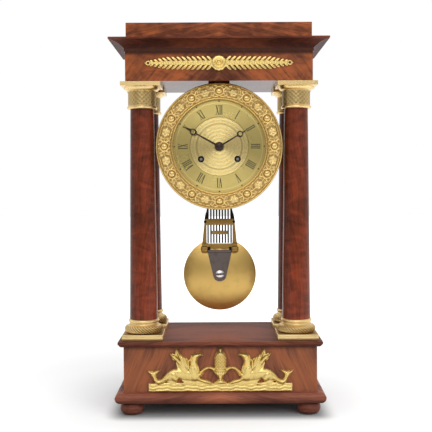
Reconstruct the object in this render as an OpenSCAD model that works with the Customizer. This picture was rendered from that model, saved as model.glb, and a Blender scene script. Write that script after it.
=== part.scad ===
// Portico clock: a mahogany portico on four columns with gilt mounts, carrying a round
// eight-day striking movement whose gridiron pendulum swings between the columns.
// Millimetres, +Z up, the front looks along -Y, origin under the middle of the feet.

/* [Base] */
// Height of the bun feet
foot_h = 15.2; // [12:0.1:26]
// Diameter of the bun feet
foot_d = 29; // [22:1:34]
// How far the feet stand in from the edge of the plinth board
foot_inset = 5; // [2:0.5:12]
// Thickness of the moulded plinth board
plinth_h = 13.8; // [9:0.1:18]
// How far the plinth board stands out from the case
plinth_out = 10.3; // [7:0.1:16]
// Width of the base case
case_w = 235.5; // [225:0.5:290]
// Depth of the base case
case_d = 127; // [118:0.5:170]
// Height of the base case
case_h = 55; // [42:1:90]
// Wall and floor of the base case
case_wall = 9; // [6:0.5:12]
// Thickness of the base top board
top_t = 7; // [6:0.5:12]
// How far the base top board stands out from the case
top_out = 6.5; // [4:0.5:12]

/* [Columns] */
// Distance between the column axes across the front
col_span_x = 190; // [182:1:194]
// Distance between the column axes from front to back
col_span_y = 75; // [66:1:78]
// Height of the wooden shafts
shaft_h = 259; // [245:1:320]
// Diameter of the shafts at the top
shaft_d_top = 29.2; // [24:0.2:32]
// Diameter of the shafts at the foot
shaft_d_foot = 35; // [30:0.2:37]
// Side of the square block under each column
block_w = 50; // [44:0.5:52]
// Thickness of the square block
block_t = 7; // [5:0.5:12]
// Height of the turned mouldings of the column base
ring_h = 17; // [15:0.5:24]
// Height of the bead ring under the capital's neck
astragal_h = 4; // [3:0.5:6]
// Height of the engine-turned neck of the capital
neck_h = 18; // [12:0.5:30]
// Diameter of the neck of the capital
neck_d = 34.5; // [33:0.5:37]
// Height of the swelling under the abacus
echinus_h = 5; // [4:0.5:8]
// Side of the square abacus
abacus_w = 48.5; // [44:0.5:50]
// Thickness of the abacus
abacus_t = 5; // [4:0.5:8]
// Diameter of the iron tie rods in the columns
rod_d = 6; // [4:0.5:7]

/* [Entablature] */
// Width of the frieze
frieze_w = 226; // [216:1:240]
// Depth of the frieze
frieze_d = 123; // [112:1:140]
// Height of the frieze
frieze_h = 35; // [28:1:50]
// Walls and floor of the frieze box
frieze_wall = 10; // [7:0.5:14]
// Height of the fillet above the frieze
bed_h = 4; // [2:0.5:6]
// How far that fillet stands out
bed_out = 1; // [0.5:0.25:3]
// Height of the cornice
cornice_h = 11; // [9:0.5:16]
// How far the cornice stands out from the frieze
cornice_out = 18.2; // [12:0.2:24]
// Height of the attic block
attic_h = 20; // [14:1:34]
// How far the attic is set back from the frieze
attic_in = 1; // [0:0.5:6]

/* [Bezel and dial] */
// Diameter of the cast bezel
bezel_d = 154.6; // [150:0.2:156]
// Depth of the cast bezel
bezel_h = 9; // [8:0.5:12]
// Gap between the bezel and the underside of the frieze
bezel_gap = 1.1; // [0.6:0.1:4]
// Diameter of the dial opening
sight_d = 114; // [112:0.5:116]
// How far the dial lies behind the front of the frieze
dial_recess = 9.5; // [9:0.5:14]
// Thickness of the dial
dial_t = 1.5; // [1:0.1:2]
// Diameter of the guilloche centre of the dial
centre_zone_d = 71.6; // [66:0.2:74]
// Radius of the winding holes
wind_hole_r = 3.9; // [3.2:0.1:4.4]
// Length of the minute hand
minute_len = 51; // [47:0.5:53]
// Length of the hour hand
hour_len = 38.5; // [33:0.5:42]
// Angle of the minute hand, clockwise from twelve
minute_angle = 299; // [0:1:359]
// Angle of the hour hand, clockwise from twelve
hour_angle = 59.5; // [0:0.5:359]

/* [Movement] */
// Half the distance between the winding arbors
wind_x = 22.3; // [22.1:0.1:22.9]
// How far the winding arbors lie below the dial centre
wind_drop = 15.4; // [15:0.1:15.9]
// Radius of the plates
plate_r = 50; // [49:0.5:52]
// Thickness of the plates
plate_t = 2; // [1.5:0.1:3]
// Space between the plates
plate_gap = 40; // [38:0.5:46]
// Space between the dial and the front plate
under_dial = 6.5; // [6.2:0.1:8]
// Height of the pallet arbor above the dial centre
pallet_rise = 36; // [35.8:0.1:36.4]
// Thickness of the brass wheels
wheel_t = 1.2; // [0.9:0.1:1.3]
// Radius of the drum round the movement
drum_r = 62; // [60.5:0.5:66]
// Wall of the drum
drum_wall = 1.5; // [1:0.1:2]
// Radius of the bell
bell_r = 33; // [28:0.5:34]
// Depth of the bell
bell_h = 20; // [14:0.5:24]

/* [Pendulum] */
// Distance from the suspension to the middle of the bob
pend_len = 199.2; // [192:0.2:206]
// How far the pendulum hangs behind the back plate
pend_y = 14; // [13:0.5:16]
// Diameter of the bob
bob_d = 94.4; // [80:0.4:100]
// Thickness of the bob
bob_t = 14; // [10:0.5:16]
// Number of steel rods in the gridiron
rod_count = 9; // [5:2:9]
// Pitch of the gridiron rods
rod_pitch = 3.74; // [3:0.02:3.9]
// Width of a gridiron rod
rod_w = 2; // [1.2:0.1:2.4]

/* [Hidden] */
$fn = 72;
run = 0.05;
seat = 0.3;
eps = 0.01;
mahogany = [0.36, 0.15, 0.09];
ormolu = [0.86, 0.69, 0.33];
brass = [0.75, 0.6, 0.3];
steel = [0.42, 0.42, 0.44];
blued = [0.12, 0.08, 0.07];

// Heights of the case, from the ground up
plinth_z = foot_h;
case_z = plinth_z + plinth_h;
top_z = case_z + case_h;
floor_z = top_z + top_t;
shaft_z = floor_z + block_t + ring_h;
capital_z = shaft_z + shaft_h;
ent_z = capital_z + astragal_h + neck_h + echinus_h + abacus_t;
bed_z = ent_z + frieze_h;
cornice_z = bed_z + bed_h;
attic_z = cornice_z + cornice_h;
col_x = col_span_x / 2;
col_y = col_span_y / 2;
foot_x = case_w / 2 + plinth_out - foot_inset - foot_d / 2;
foot_y = case_d / 2 + plinth_out - foot_inset - foot_d / 2;
rod_hole = rod_d + 2 * seat;
nut_r = rod_d;
nut_t = 5;
rod_end = 3;

// Depths of the clock, from the dial backwards
dial_z = ent_z - bezel_gap - bezel_d / 2;
dial_front = -frieze_d / 2 + dial_recess;
dial_back = dial_front + dial_t;
fp_front = dial_back + under_dial;
fp_back = fp_front + plate_t;
bp_front = fp_back + plate_gap;
bp_back = bp_front + plate_t;
pend_mid = bp_back + pend_y;
shake = 0.2;
pivot_r = 0.5;
arbor_r = 0.9;
slim_arbor_r = 0.6;
sight_r = sight_d / 2;
dial_r = sight_r + 2;

// Teeth of the going train: 80/8 x 80/6 x 30 gives 8000 beats an hour
great_n = 84;
great_m = 0.5;
second_p = 14;
second_n = 70;
second_m = 0.45;
centre_p = 10;
centre_n = 80;
centre_m = 0.4;
third_p = 8;
third_n = 80;
third_m = 0.36;
escape_p = 6;
escape_n = 30;
escape_r = 11;
escape_drop = 15.2;

// Teeth of the striking train
strike_p = 12;
strike_n = 60;
strike_m = 0.36;
pin_p = 8;
pin_n = 54;
pin_m = 0.3;
warn_p = 7;
warn_n = 48;
warn_m = 0.26;
fly_p = 6;

// Teeth of the motion work: 36/12 x 40/10 turns the hour hand once in twelve hours
cannon_p = 12;
minute_n = 36;
minute_m = 0.5;
minute_p = 10;
hour_n = 40;
hour_m = minute_m * (cannon_p + minute_n) / (minute_p + hour_n);

// Places of the arbors, seen from the front with the dial centre at zero
centre_at = [0, 0];
going_at = [wind_x, -wind_drop];
striking_at = [-wind_x, -wind_drop];
pallet_at = [0, pallet_rise];
escape_at = pallet_at - [0, escape_drop];
second_at = meet(centre_at, second_m * (second_n + centre_p) / 2,
                 going_at, great_m * (great_n + second_p) / 2, 1);
third_at = meet(centre_at, centre_m * (centre_n + third_p) / 2,
                escape_at, third_m * (third_n + escape_p) / 2, 1);
strike_at = striking_at + polar(great_m * (great_n + strike_p) / 2, 116.5);
pin_at = strike_at + polar(strike_m * (strike_n + pin_p) / 2, 75);
warn_at = pin_at + polar(pin_m * (pin_n + warn_p) / 2, 60);
fly_at = warn_at + polar(warn_m * (warn_n + fly_p) / 2, 20);
hammer_side = 2.83;
hammer_rise = 16.08;
hammer_at = pin_at + [hammer_side, hammer_rise];
minute_at = [0, minute_m * (cannon_p + minute_n) / 2];
pillar_angles = [55, 145, 250, 290];
pillar_orbit = plate_r - 4;
pillar_r = 2.5;

// Levels of the wheels between the plates
great_t = 3;
great_back = bp_front - 9;
barrel_front = fp_back + 6;
barrel_r = 19;
barrel_wall = 1.4;
second_back = fp_back + 4.8;
third_back = fp_back + 2.2;
centre_back = bp_front - 3.5;
escape_back = bp_front - 9;
pin_back = bp_front - 20.8;
warn_back = bp_front - 29;
cannon_back = fp_front - 1.4;
cannon_pipe_r = 1.9;
centre_arbor_r = 1.2;
hour_back = cannon_back - wheel_t - 1;
hour_pipe_r = 3;
hour_hand_back = dial_front - 1;
hand_t = 0.7;
minute_hand_back = hour_hand_back - hand_t - 1.3;
collet_r = 5.5;
collet_h = 2.4;

// Winding squares, ratchets and clicks
wind_arbor_r = 3;
hub_r = 5.5;
wind_square = 3;
ratchet_n = 24;
ratchet_r = 8;
ratchet_back = fp_front - 1.2;
ratchet_t = 1.4;
click_reach = 13.5;
click_angle = 10;
click_turn = 38;
click_hub_r = 2.2;
click_nose_r = 0.8;
stud_r = 1;

// Hammer, pins and count wheel
pin_orbit = 5.6;
pin_r = 0.4;
pin_count = 8;
pin_len = 2.4;
tail_w = 1.6;
hammer_arbor_r = 1.5;
hammer_r = 3.5;
hammer_rest = 1.2;
hammer_head = polar(bell_r + hammer_rest + hammer_r, 158.7);
hammer_reach = hammer_head - hammer_at;
bell_gap = 8;
bell_mouth = pend_mid + bell_gap;
bell_wall = 1.6;
bell_flat = 9;
bell_sag = 5.5;
bell_post = [38, -18];
count_r = 12;

// Suspension and pendulum
cock_foot = 10;
cock_y = bp_back + 7;
cock_t = 2.5;
spring_t = 0.25;
spring_w = 3;
spring_drop = 9;
head_w = 4;
grid_half = (rod_count - 1) / 2 * rod_pitch + rod_w / 2;
grid_top = pallet_rise - 46;
bob_rise = pallet_rise - pend_len;
yoke_top = bob_rise + 40.9;
yoke_h = 6;
rods_t = 2.5;
rods_front = pend_mid - bob_t / 2 + 0.5;
yoke_back = rods_front + 1.5;
bar_t = 2;
knob_r = 4.9;
knob_x = 19.7;
tongue_t = 1.5;
tongue_flat = 6;

// Point at radius r and angle a
function polar(r, a) = [r * cos(a), r * sin(a)];

// Direction from one point to another
function bearing(a, b) = atan2(b[1] - a[1], b[0] - a[0]);

// Point at distance ra from a and rb from b
function meet(a, ra, b, rb, side) =
    let (d = b - a, l = norm(d), u = d / l, k = (ra * ra - rb * rb + l * l) / (2 * l))
    a + u * k + [-u[1], u[0]] * side * sqrt(max(0, ra * ra - k * k));

// Angle that sets a gap of n2 leaves at b against a tooth of n1 teeth at a
function mesh_phase(a, n1, b, n2) =
    let (t = bearing(a, b)) t + 180 + t * n1 / n2 + 180 / n2;

// Circular arc from p to q that bulges s to the left of the way
function bow(p, q, s, n) =
    let (d = q - p, c = norm(d), u = d / c, r = (c * c / 4 + s * s) / (2 * abs(s)))
    [for (i = [0:n]) let (t = c * (i / n - 0.5))
        p + u * (t + c / 2)
        + [-u[1], u[0]] * sign(s) * (sqrt(r * r - t * t) - r + abs(s))];

// Closed smooth curve through a ring of points
function flowing(pts, n) =
    let (m = len(pts))
    [for (i = [0:m - 1]) let (a = pts[(i + m - 1) % m], b = pts[i], c = pts[(i + 1) % m],
        d = pts[(i + 2) % m])
        for (k = [0:n - 1]) let (t = k / n)
            0.5 * (2 * b + (c - a) * t + (2 * a - 5 * b + 4 * c - d) * t * t
            + (3 * b - a - 3 * c + d) * t * t * t)];

// Carries children that are drawn in the front view to depth y, rising to the front
module at(p, y) {
    translate([p[0], y, dial_z + p[1]]) rotate([90, 0, 0]) children();
}

// Block with its middle over the origin
module block(w, d, z0, h) {
    translate([-w / 2, -d / 2, z0]) cube([w, d, h]);
}

// Repeats children over the four column axes
module each_column() {
    for (sx = [-1, 1], sy = [-1, 1]) translate([sx * col_x, sy * col_y, 0]) children();
}

// Rectangular board whose four edges carry one moulding, given as [out, height] points
module moulded(w, d, edge) {
    long = w + d;
    last = len(edge) - 1;
    intersection_for (side = [[w, 0], [d, 90]]) {
        rotate([90, 0, side[1]]) linear_extrude(long, center = true) polygon(concat(
            [for (p = edge) [side[0] / 2 + p[0], p[1]]],
            [for (i = [last:-1:0]) [-side[0] / 2 - edge[i][0], edge[i][1]]]));
    }
}

// Outline of a wheel with pointed teeth
module teeth(n, m) {
    r = n * m / 2;
    pitch = 360 / n;
    flank = [[-0.24, -1.3], [-0.17, 0.1], [-0.05, 0.85], [0.05, 0.85], [0.17, 0.1], [0.24, -1.3]];
    polygon([for (i = [0:n - 1], f = flank) polar(r + f[1] * m, (i + f[0]) * pitch)]);
}

// Outline of a pinion with slim leaves
module leaves(n, m) {
    r = n * m / 2;
    pitch = 360 / n;
    flank = [[-0.16, -1.35], [-0.13, 0], [-0.07, 0.4], [0.07, 0.4], [0.13, 0], [0.16, -1.35]];
    polygon([for (i = [0:n - 1], f = flank) polar(r + f[1] * m, (i + f[0]) * pitch)]);
}

// Wheel crossed out to four spokes
module crossed_wheel(n, m, hub, spoke) {
    rim = n * m / 2 - 3.2 * m - 0.4;
    difference() {
        teeth(n, m);
        difference() {
            circle(rim);
            circle(hub);
            for (a = [0, 90]) rotate(a) square([2 * rim, spoke], center = true);
        }
    }
}

// Arbor with its two pivots in the plates
module arbor(p, r) {
    at(p, bp_back) cylinder(h = bp_back - fp_front, r = pivot_r);
    at(p, bp_front - shake) cylinder(h = plate_gap - 2 * shake, r = r);
}

// Pinion cut on an arbor, meshing with n teeth at the place from
module pinion(p, n, m, from, from_n, back, length) {
    at(p, back) linear_extrude(length) rotate(mesh_phase(from, from_n, p, n)) leaves(n, m);
}

module bun_feet() {
    side_r = foot_h / 2;
    color(mahogany) for (sx = [-1, 1], sy = [-1, 1]) translate([sx * foot_x, sy * foot_y, 0])
        rotate_extrude() {
            square([foot_d / 2 - side_r, foot_h]);
            intersection() {
                translate([foot_d / 2 - side_r, side_r]) circle(side_r);
                square([foot_d, foot_h]);
            }
        }
}

module plinth_board() {
    nose = 0.52 * plinth_h;
    edge = concat(
        bow([plinth_out - 5.5, plinth_z], [plinth_out, plinth_z + nose], -1.3, 6),
        bow([plinth_out, plinth_z + nose + 1], [plinth_out - 4.4, case_z - 1], -0.9, 6),
        [[1.2, case_z - 1], [1.2, case_z]]);
    color(mahogany) moulded(case_w, case_d, edge);
}

module base_case() {
    color(mahogany) difference() {
        block(case_w, case_d, case_z, case_h);
        block(case_w - 2 * case_wall, case_d - 2 * case_wall, case_z + case_wall, case_h);
    }
}

module base_top() {
    edge = concat(bow([0.4, top_z], [top_out - 0.9, top_z + 0.5 * top_t], -1.2, 6),
        [[top_out, top_z + 0.5 * top_t], [top_out, floor_z - 0.4], [top_out - 0.4, floor_z]]);
    color(mahogany) difference() {
        moulded(case_w, case_d, edge);
        each_column() translate([0, 0, top_z - 1]) cylinder(h = top_t + 2, d = rod_hole);
    }
}

module column_bases() {
    torus_r = 0.21 * ring_h;
    torus_x = block_w / 2 - torus_r - 1.6;
    collar_r = 0.125 * ring_h;
    collar_x = shaft_d_foot / 2 - 0.4;
    cove = bow([torus_x + 1.2, 2 * torus_r], [collar_x + 0.6, ring_h - 2 * collar_r], 1.4, 8);
    color(ormolu) each_column() translate([0, 0, floor_z]) difference() {
        union() {
            block(block_w, block_w, 0, block_t);
            translate([0, 0, block_t]) rotate_extrude() {
                square([torus_x, 2 * torus_r]);
                translate([torus_x, torus_r]) circle(torus_r);
                polygon(concat([[0, 2 * torus_r - eps]], cove, [[0, ring_h - 2 * collar_r]]));
                translate([0, ring_h - 2 * collar_r - eps]) square([collar_x, 2 * collar_r + eps]);
                translate([collar_x, ring_h - collar_r]) circle(collar_r);
            }
        }
        translate([0, 0, -1]) cylinder(h = block_t + ring_h + 2, d = rod_hole);
    }
}

module column(sx, sy) {
    color(mahogany) translate([sx * col_x, sy * col_y, shaft_z]) difference() {
        cylinder(h = shaft_h, d1 = shaft_d_foot, d2 = shaft_d_top);
        translate([0, 0, -1]) cylinder(h = shaft_h + 2, d = rod_hole);
    }
}

module column_front_left() { column(-1, -1); }

module column_front_right() { column(1, -1); }

module column_back_left() { column(-1, 1); }

module column_back_right() { column(1, 1); }

module capitals() {
    bead_r = astragal_h / 2;
    neck_top = astragal_h + neck_h;
    swell = bow([neck_d / 2, neck_top], [abacus_w / 2 - 2.2, neck_top + echinus_h], -1.2, 8);
    color(ormolu) each_column() translate([0, 0, capital_z]) difference() {
        union() {
            rotate_extrude() {
                square([neck_d / 2 - 0.6, astragal_h + eps]);
                translate([neck_d / 2 - 0.6, bead_r]) circle(bead_r);
                translate([0, astragal_h]) square([neck_d / 2, neck_h]);
                polygon(concat([[0, neck_top - eps]], swell, [[0, neck_top + echinus_h]]));
            }
            block(abacus_w, abacus_w, neck_top + echinus_h, abacus_t);
        }
        translate([0, 0, -1]) cylinder(h = neck_top + echinus_h + abacus_t + 2, d = rod_hole);
    }
}

module column_tie_rods() {
    low = top_z - nut_t - rod_end;
    high = ent_z + frieze_wall + nut_t + rod_end;
    color(steel) each_column() {
        translate([0, 0, low]) cylinder(h = high - low, d = rod_d);
        for (z = [top_z - nut_t, ent_z + frieze_wall]) translate([0, 0, z]) difference() {
            cylinder(h = nut_t, r = nut_r, $fn = 6);
            translate([0, 0, -1]) cylinder(h = nut_t + 2, d = rod_d + 2 * run);
        }
    }
}

// Places of the two screws that hold the saddle
saddle_w = 26;
saddle_front = dial_back + 5;
saddle_back = bp_front - 2;
saddle_screws = [saddle_front + 9, saddle_back - 9];
screw_d = 4;
screw_head_r = 3.6;
screw_head_h = 2.2;
strap_x = (plate_r + drum_r - drum_wall) / 2;
strap_t = 2;
strap_w = 8;
strap_end = 6;
strap_screw_d = 3;
ring_t = 2;

module entablature() {
    color(mahogany) difference() {
        union() {
            block(frieze_w, frieze_d, ent_z, frieze_h);
            block(frieze_w + 2 * bed_out, frieze_d + 2 * bed_out, bed_z, bed_h);
        }
        block(frieze_w - 2 * frieze_wall, frieze_d - 2 * frieze_wall, ent_z + frieze_wall,
            frieze_h + bed_h);
        each_column() translate([0, 0, ent_z - 1]) cylinder(h = frieze_wall + 2, d = rod_hole);
        for (y = saddle_screws) translate([0, y, ent_z - 1])
            cylinder(h = frieze_wall + 2, d = screw_d + 2 * run);
    }
}

module cornice() {
    lip = 2.2;
    edge = concat(bow([bed_out, cornice_z], [cornice_out - 0.5, attic_z - lip], 1.6, 10),
        [[cornice_out, attic_z - lip], [cornice_out, attic_z]]);
    color(mahogany) difference() {
        moulded(frieze_w, frieze_d, edge);
        block(frieze_w - 2 * frieze_wall, frieze_d - 2 * frieze_wall, cornice_z - 1,
            cornice_h + 2);
    }
}

module attic() {
    w = frieze_w - 2 * attic_in;
    d = frieze_d - 2 * attic_in;
    color(mahogany) difference() {
        block(w, d, attic_z, attic_h);
        block(w - 2 * frieze_wall, d - 2 * frieze_wall, attic_z - 1, attic_h - frieze_wall + 5);
    }
}

// One curled palm leaf that springs from the origin along +X
module palm_leaf(length, width) {
    polygon(concat(bow([0, 0], [length, 0], width * 0.62, 6),
        bow([length, 0], [0, 0], width * 0.38, 6)));
}

module frieze_mount() {
    half = 83;
    pitch = 5.7;
    count = 13;
    first = 11;
    t = 2.2;
    mid_z = ent_z + 0.61 * frieze_h;
    color(ormolu) translate([0, -frieze_d / 2, mid_z]) rotate([90, 0, 0]) {
        linear_extrude(t) for (s = [0, 1]) mirror([s, 0, 0]) {
            polygon([[0, -2.8], [half, -0.9], [half, 0.9], [0, 2.8]]);
            for (i = [0:count - 1], up = [-1, 1]) let (x = first + i * pitch, k = 1 - i / 22)
                translate([x - 1, 0]) rotate(up * (62 - i)) mirror([0, up < 0 ? 1 : 0, 0])
                    palm_leaf(10.2 * k * (i > 9 ? 1 - (i - 9) * 0.09 : 1), 3.4 * k);
            difference() {
                translate([half + 2.2, 0]) circle(3);
                translate([half + 2.2, 0]) circle(1.4);
            }
            translate([half + 5.4, 0]) circle(1.3);
        }
        linear_extrude(t + 0.6) for (i = [0:7]) rotate(45 * i) translate([5.4, 0]) circle(3.2);
        linear_extrude(t + 1) circle(6);
        translate([0, 0, t + 1]) sphere(3);
    }
}

// Outline of one crouching griffin with a fish tail, facing right, tail fin at the left
griffin_line = [[-89.3, 26.4], [-82, 25.6], [-72.2, 27], [-76, 23.6], [-77.8, 20.5],
    [-77.2, 17], [-74.5, 15.4], [-70.8, 17.2], [-67.2, 21.2], [-63, 25.2], [-57.5, 27.9],
    [-53, 28.5], [-53.8, 34], [-54.5, 37.4], [-57.5, 38.9], [-60.5, 44.4], [-61.7, 47.4],
    [-58.7, 47.4], [-55.1, 46.2], [-54.5, 50.5], [-53, 53.2], [-50.8, 50.5], [-47.2, 45.6],
    [-41.8, 41.9], [-38.4, 39.5], [-36.9, 40.7], [-35.7, 44.4], [-32.7, 47.1], [-28.4, 47.9],
    [-24.2, 47.6], [-21.1, 45.9], [-21.4, 44.1], [-23.6, 43.5], [-26, 41.9], [-28.1, 38.3],
    [-27.8, 34], [-26.3, 30.3], [-25.4, 25.5], [-25, 20], [-22.9, 16.3], [-15.1, 14.5],
    [-10.3, 11.4], [-9.6, 9.2], [-30, 8.6], [-55, 8.6], [-76, 8.8], [-80.2, 11.5], [-84, 18.8]];

// Swelling of a mount: a cap of radius r that rises h above the ground t
module swelling(p, r, h, t) {
    ball = (r * r + h * h) / (2 * h);
    translate([p[0], p[1], t - eps]) intersection() {
        translate([0, 0, h - ball]) sphere(ball);
        cylinder(h = h + 1, r = r + 1);
    }
}

module griffin(t) {
    linear_extrude(t) difference() {
        polygon(flowing(griffin_line, 3));
        polygon([[-53.8, 11.1], [-44.6, 11.1], [-50.2, 16.3]]);
        polygon([[-68.5, 11.1], [-63, 11.1], [-66, 13]]);
    }
    linear_extrude(t + 1.2) {
        polygon(flowing([[-52, 28], [-53.5, 38], [-59, 46], [-54, 44.5], [-53, 51], [-46, 43],
            [-40, 38], [-38, 28], [-44, 23]], 3));
        polygon(flowing([[-35, 38], [-32, 45.5], [-27, 46.5], [-28.5, 42], [-30.5, 36],
            [-28.5, 28], [-29, 20], [-36, 19], [-38, 26]], 3));
    }
    swelling([-46, 20], 5.4, 2.6, t);
    swelling([-32.6, 18.6], 5.8, 2.8, t);
    swelling([-58.6, 20.4], 5.2, 2.2, t);
    linear_extrude(t + 0.6) polygon(flowing([[-26.5, 22], [-21.1, 28.6], [-14, 31.7],
        [-7.4, 29.6], [-4, 26], [-6.6, 23.6], [-12.6, 27.4], [-18, 25.8], [-23.6, 18.4]], 3));
}

module base_mount() {
    half = 87.6;
    strip_h = 10.6;
    t = 2.4;
    color(ormolu) translate([0, -case_d / 2, case_z + 0.2]) rotate([90, 0, 0]) {
        translate([-half, 0, 0]) cube([2 * half, strip_h, t + 0.6]);
        for (s = [0, 1]) mirror([s, 0, 0]) griffin(t);
        linear_extrude(t + 0.4) {
            polygon([[-11, strip_h - 1], [-5, 14.6], [-3.6, 18.6], [3.6, 18.6], [5, 14.6],
                [11, strip_h - 1]]);
            polygon(concat([[-7.4, 28]], bow([7.4, 28], [3, 18], -1.2, 4),
                bow([-3, 18], [-7.4, 28], -1.2, 4)));
            polygon(concat(bow([7.2, 27], [0, 51.6], -2.6, 8), bow([0, 51.6], [-7.2, 27], -2.6, 8)));
        }
        translate([0, 0, t - 2]) intersection() {
            rotate([-90, 0, 0]) rotate_extrude() polygon(concat([[0, 28]],
                bow([6.2, 28], [0, 50], -2.6, 8)));
            translate([-half, 0, 0]) cube([2 * half, 60, 20]);
        }
        translate([0, 51.8, t / 2]) sphere(1.2);
    }
}

module saddle() {
    drop = ent_z - dial_z;
    low = dial_z + sqrt(drum_r * drum_r - saddle_w * saddle_w / 4) - 1;
    color(mahogany) difference() {
        translate([-saddle_w / 2, saddle_front, low])
            cube([saddle_w, saddle_back - saddle_front, dial_z + drop - low]);
        at([0, 0], saddle_back + 1)
            cylinder(h = saddle_back - saddle_front + 2, r = drum_r + run);
        for (y = saddle_screws) translate([0, y, ent_z - 9]) cylinder(h = 10, d = screw_d + 2 * run);
    }
}

module case_screws() {
    shank = frieze_wall + 7;
    color(steel) {
        for (y = saddle_screws) translate([0, y, ent_z + frieze_wall]) {
            cylinder(h = screw_head_h, r = screw_head_r);
            translate([0, 0, -shank]) cylinder(h = shank + eps, d = screw_d);
        }
        for (s = [-1, 1]) at([s * strap_x, 0], bp_back + ring_t + screw_head_h) {
            cylinder(h = screw_head_h, r = screw_head_r - 0.8);
            cylinder(h = screw_head_h + ring_t + 5, d = strap_screw_d);
        }
    }
}

module drum() {
    color(brass) at([0, 0], bp_back) difference() {
        cylinder(h = bp_back - dial_back, r = drum_r);
        translate([0, 0, -1]) cylinder(h = bp_back - dial_back + 2, r = drum_r - drum_wall);
    }
}

module bezel() {
    rim = bezel_d / 2;
    field_in = sight_r + 5;
    field_out = rim - 2.6;
    field_mid = (field_in + field_out) / 2;
    dome = 6;
    color(ormolu) at([0, 0], dial_back) {
        rotate_extrude() polygon(concat([[dial_r + 0.2, 0], [rim, 0], [rim, 2.2],
            [rim - 1.6, 3.4]],
            bow([field_out, 2.8], [field_in, bezel_h - 3.4], -2.6, 8),
            [[field_in - 0.8, bezel_h - 2.4], [sight_r + 2.6, bezel_h - 2],
             [sight_r, bezel_h - 4], [sight_r, dial_t + 0.1], [dial_r + 0.2, dial_t + 0.1]]));
        for (i = [0:11]) rotate(30 * i) let (r = i % 2 == 0 ? 5.6 : 4.6)
            translate([field_mid, 0, bezel_h - 3.2]) intersection() {
                translate([0, 0, r * 0.34 - dome + r * 0.5]) sphere(dome);
                cylinder(h = dome, r = r);
            }
    }
}

module dial() {
    foot_angles = [60, 180, 300];
    color(ormolu) at([0, 0], dial_back) {
        difference() {
            cylinder(h = dial_t, r = dial_r);
            translate([0, 0, -1]) cylinder(h = dial_t + 2, r = hour_pipe_r + seat);
            for (p = [going_at, striking_at]) translate([p[0], p[1], -1])
                cylinder(h = dial_t + 2, r = wind_hole_r);
            for (r = [centre_zone_d / 2, sight_r - 1.8]) translate([0, 0, dial_t - 0.3])
                rotate_extrude() translate([r - 0.3, 0]) square([0.6, 1]);
        }
        for (a = foot_angles) rotate(a) translate([plate_r - 10, 0, -under_dial])
            cylinder(h = under_dial, r = 1.5);
    }
}

// Arbors whose plain pivots run in both plates
plain_arbors = [second_at, third_at, escape_at, pin_at, warn_at, fly_at];

module front_plate() {
    color(brass) {
        at([0, 0], fp_back) difference() {
            cylinder(h = plate_t, r = plate_r);
            for (p = concat(plain_arbors, [strike_at, hammer_at, pallet_at]))
                translate([p[0], p[1], -1]) cylinder(h = plate_t + 2, r = pivot_r + run);
            for (p = [going_at, striking_at]) translate([p[0], p[1], -1])
                cylinder(h = plate_t + 2, r = wind_arbor_r + run);
            translate([0, 0, -1]) cylinder(h = plate_t + 2, r = centre_arbor_r + run);
        }
        at(minute_at, fp_front) cylinder(h = under_dial - 0.6, r = stud_r);
        for (s = [-1, 1]) at(click_pivot(s), fp_front) cylinder(h = 3.2, r = stud_r);
    }
}

module back_plate() {
    color(brass) at([0, 0], bp_back) difference() {
        cylinder(h = plate_t, r = plate_r);
        for (p = concat(plain_arbors, [centre_at])) translate([p[0], p[1], -1])
            cylinder(h = plate_t + 2, r = pivot_r + run);
        for (p = [going_at, striking_at, strike_at, hammer_at]) translate([p[0], p[1], -1])
            cylinder(h = plate_t + 2, r = hammer_arbor_r + run);
        translate([pallet_at[0], pallet_at[1], -1]) cylinder(h = plate_t + 2, r = 3.5);
    }
}

module plate_pillars() {
    color(brass) for (a = pillar_angles) at(polar(pillar_orbit, a), bp_front)
        cylinder(h = plate_gap, r = pillar_r);
}

module back_ring() {
    color(brass) at([0, 0], bp_back + ring_t) difference() {
        cylinder(h = ring_t, r = drum_r);
        translate([0, 0, -1]) cylinder(h = ring_t + 2, r = plate_r + 1.5);
        for (s = [-1, 1]) translate([s * strap_x, 0, -1])
            cylinder(h = ring_t + 2, d = strap_screw_d + 2 * run);
    }
}

module straps() {
    color(steel) for (s = [-1, 1]) at([s * strap_x, 0], bp_back) difference() {
        union() {
            translate([-strap_t / 2, -strap_w / 2, 0]) cube([strap_t, strap_w, bp_back - dial_back]);
            translate([-strap_end / 2, -strap_w / 2, 0]) cube([strap_end, strap_w, strap_end]);
        }
        translate([0, 0, -1]) cylinder(h = strap_end + 1, d = strap_screw_d + 2 * run);
    }
}

module barrel(p) {
    inside = great_back - great_t - barrel_front;
    at(p, great_back) {
        linear_extrude(great_t) difference() {
            teeth(great_n, great_m);
            circle(wind_arbor_r + run);
        }
        translate([0, 0, great_t - eps]) difference() {
            cylinder(h = inside, r = barrel_r);
            translate([0, 0, -1]) cylinder(h = inside + 1 - barrel_wall, r = barrel_r - barrel_wall);
            translate([0, 0, -1]) cylinder(h = inside + 2, r = wind_arbor_r + run);
        }
    }
}

module going_barrel() { color(brass) barrel(going_at); }

module strike_barrel() { color(brass) barrel(striking_at); }

// Flat spiral spring that fills the barrel between the hub and the wall
module mainspring(p, hand) {
    turns = 8;
    steps = 24;
    strip = 0.5;
    first = hub_r + 0.25;
    last = barrel_r - barrel_wall - 0.3 - strip;
    n = turns * steps;
    length = great_back - great_t - barrel_front - barrel_wall - 2;
    at(p, great_back - great_t - 1) linear_extrude(length) polygon(concat(
        [for (i = [0:n]) polar(first + (last - first) * i / n, hand * i * 360 / steps)],
        [for (i = [n:-1:0]) polar(first + strip + (last - first) * i / n, hand * i * 360 / steps)]));
}

module going_mainspring() { color(steel) mainspring(going_at, 1); }

module strike_mainspring() { color(steel) mainspring(striking_at, -1); }

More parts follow.
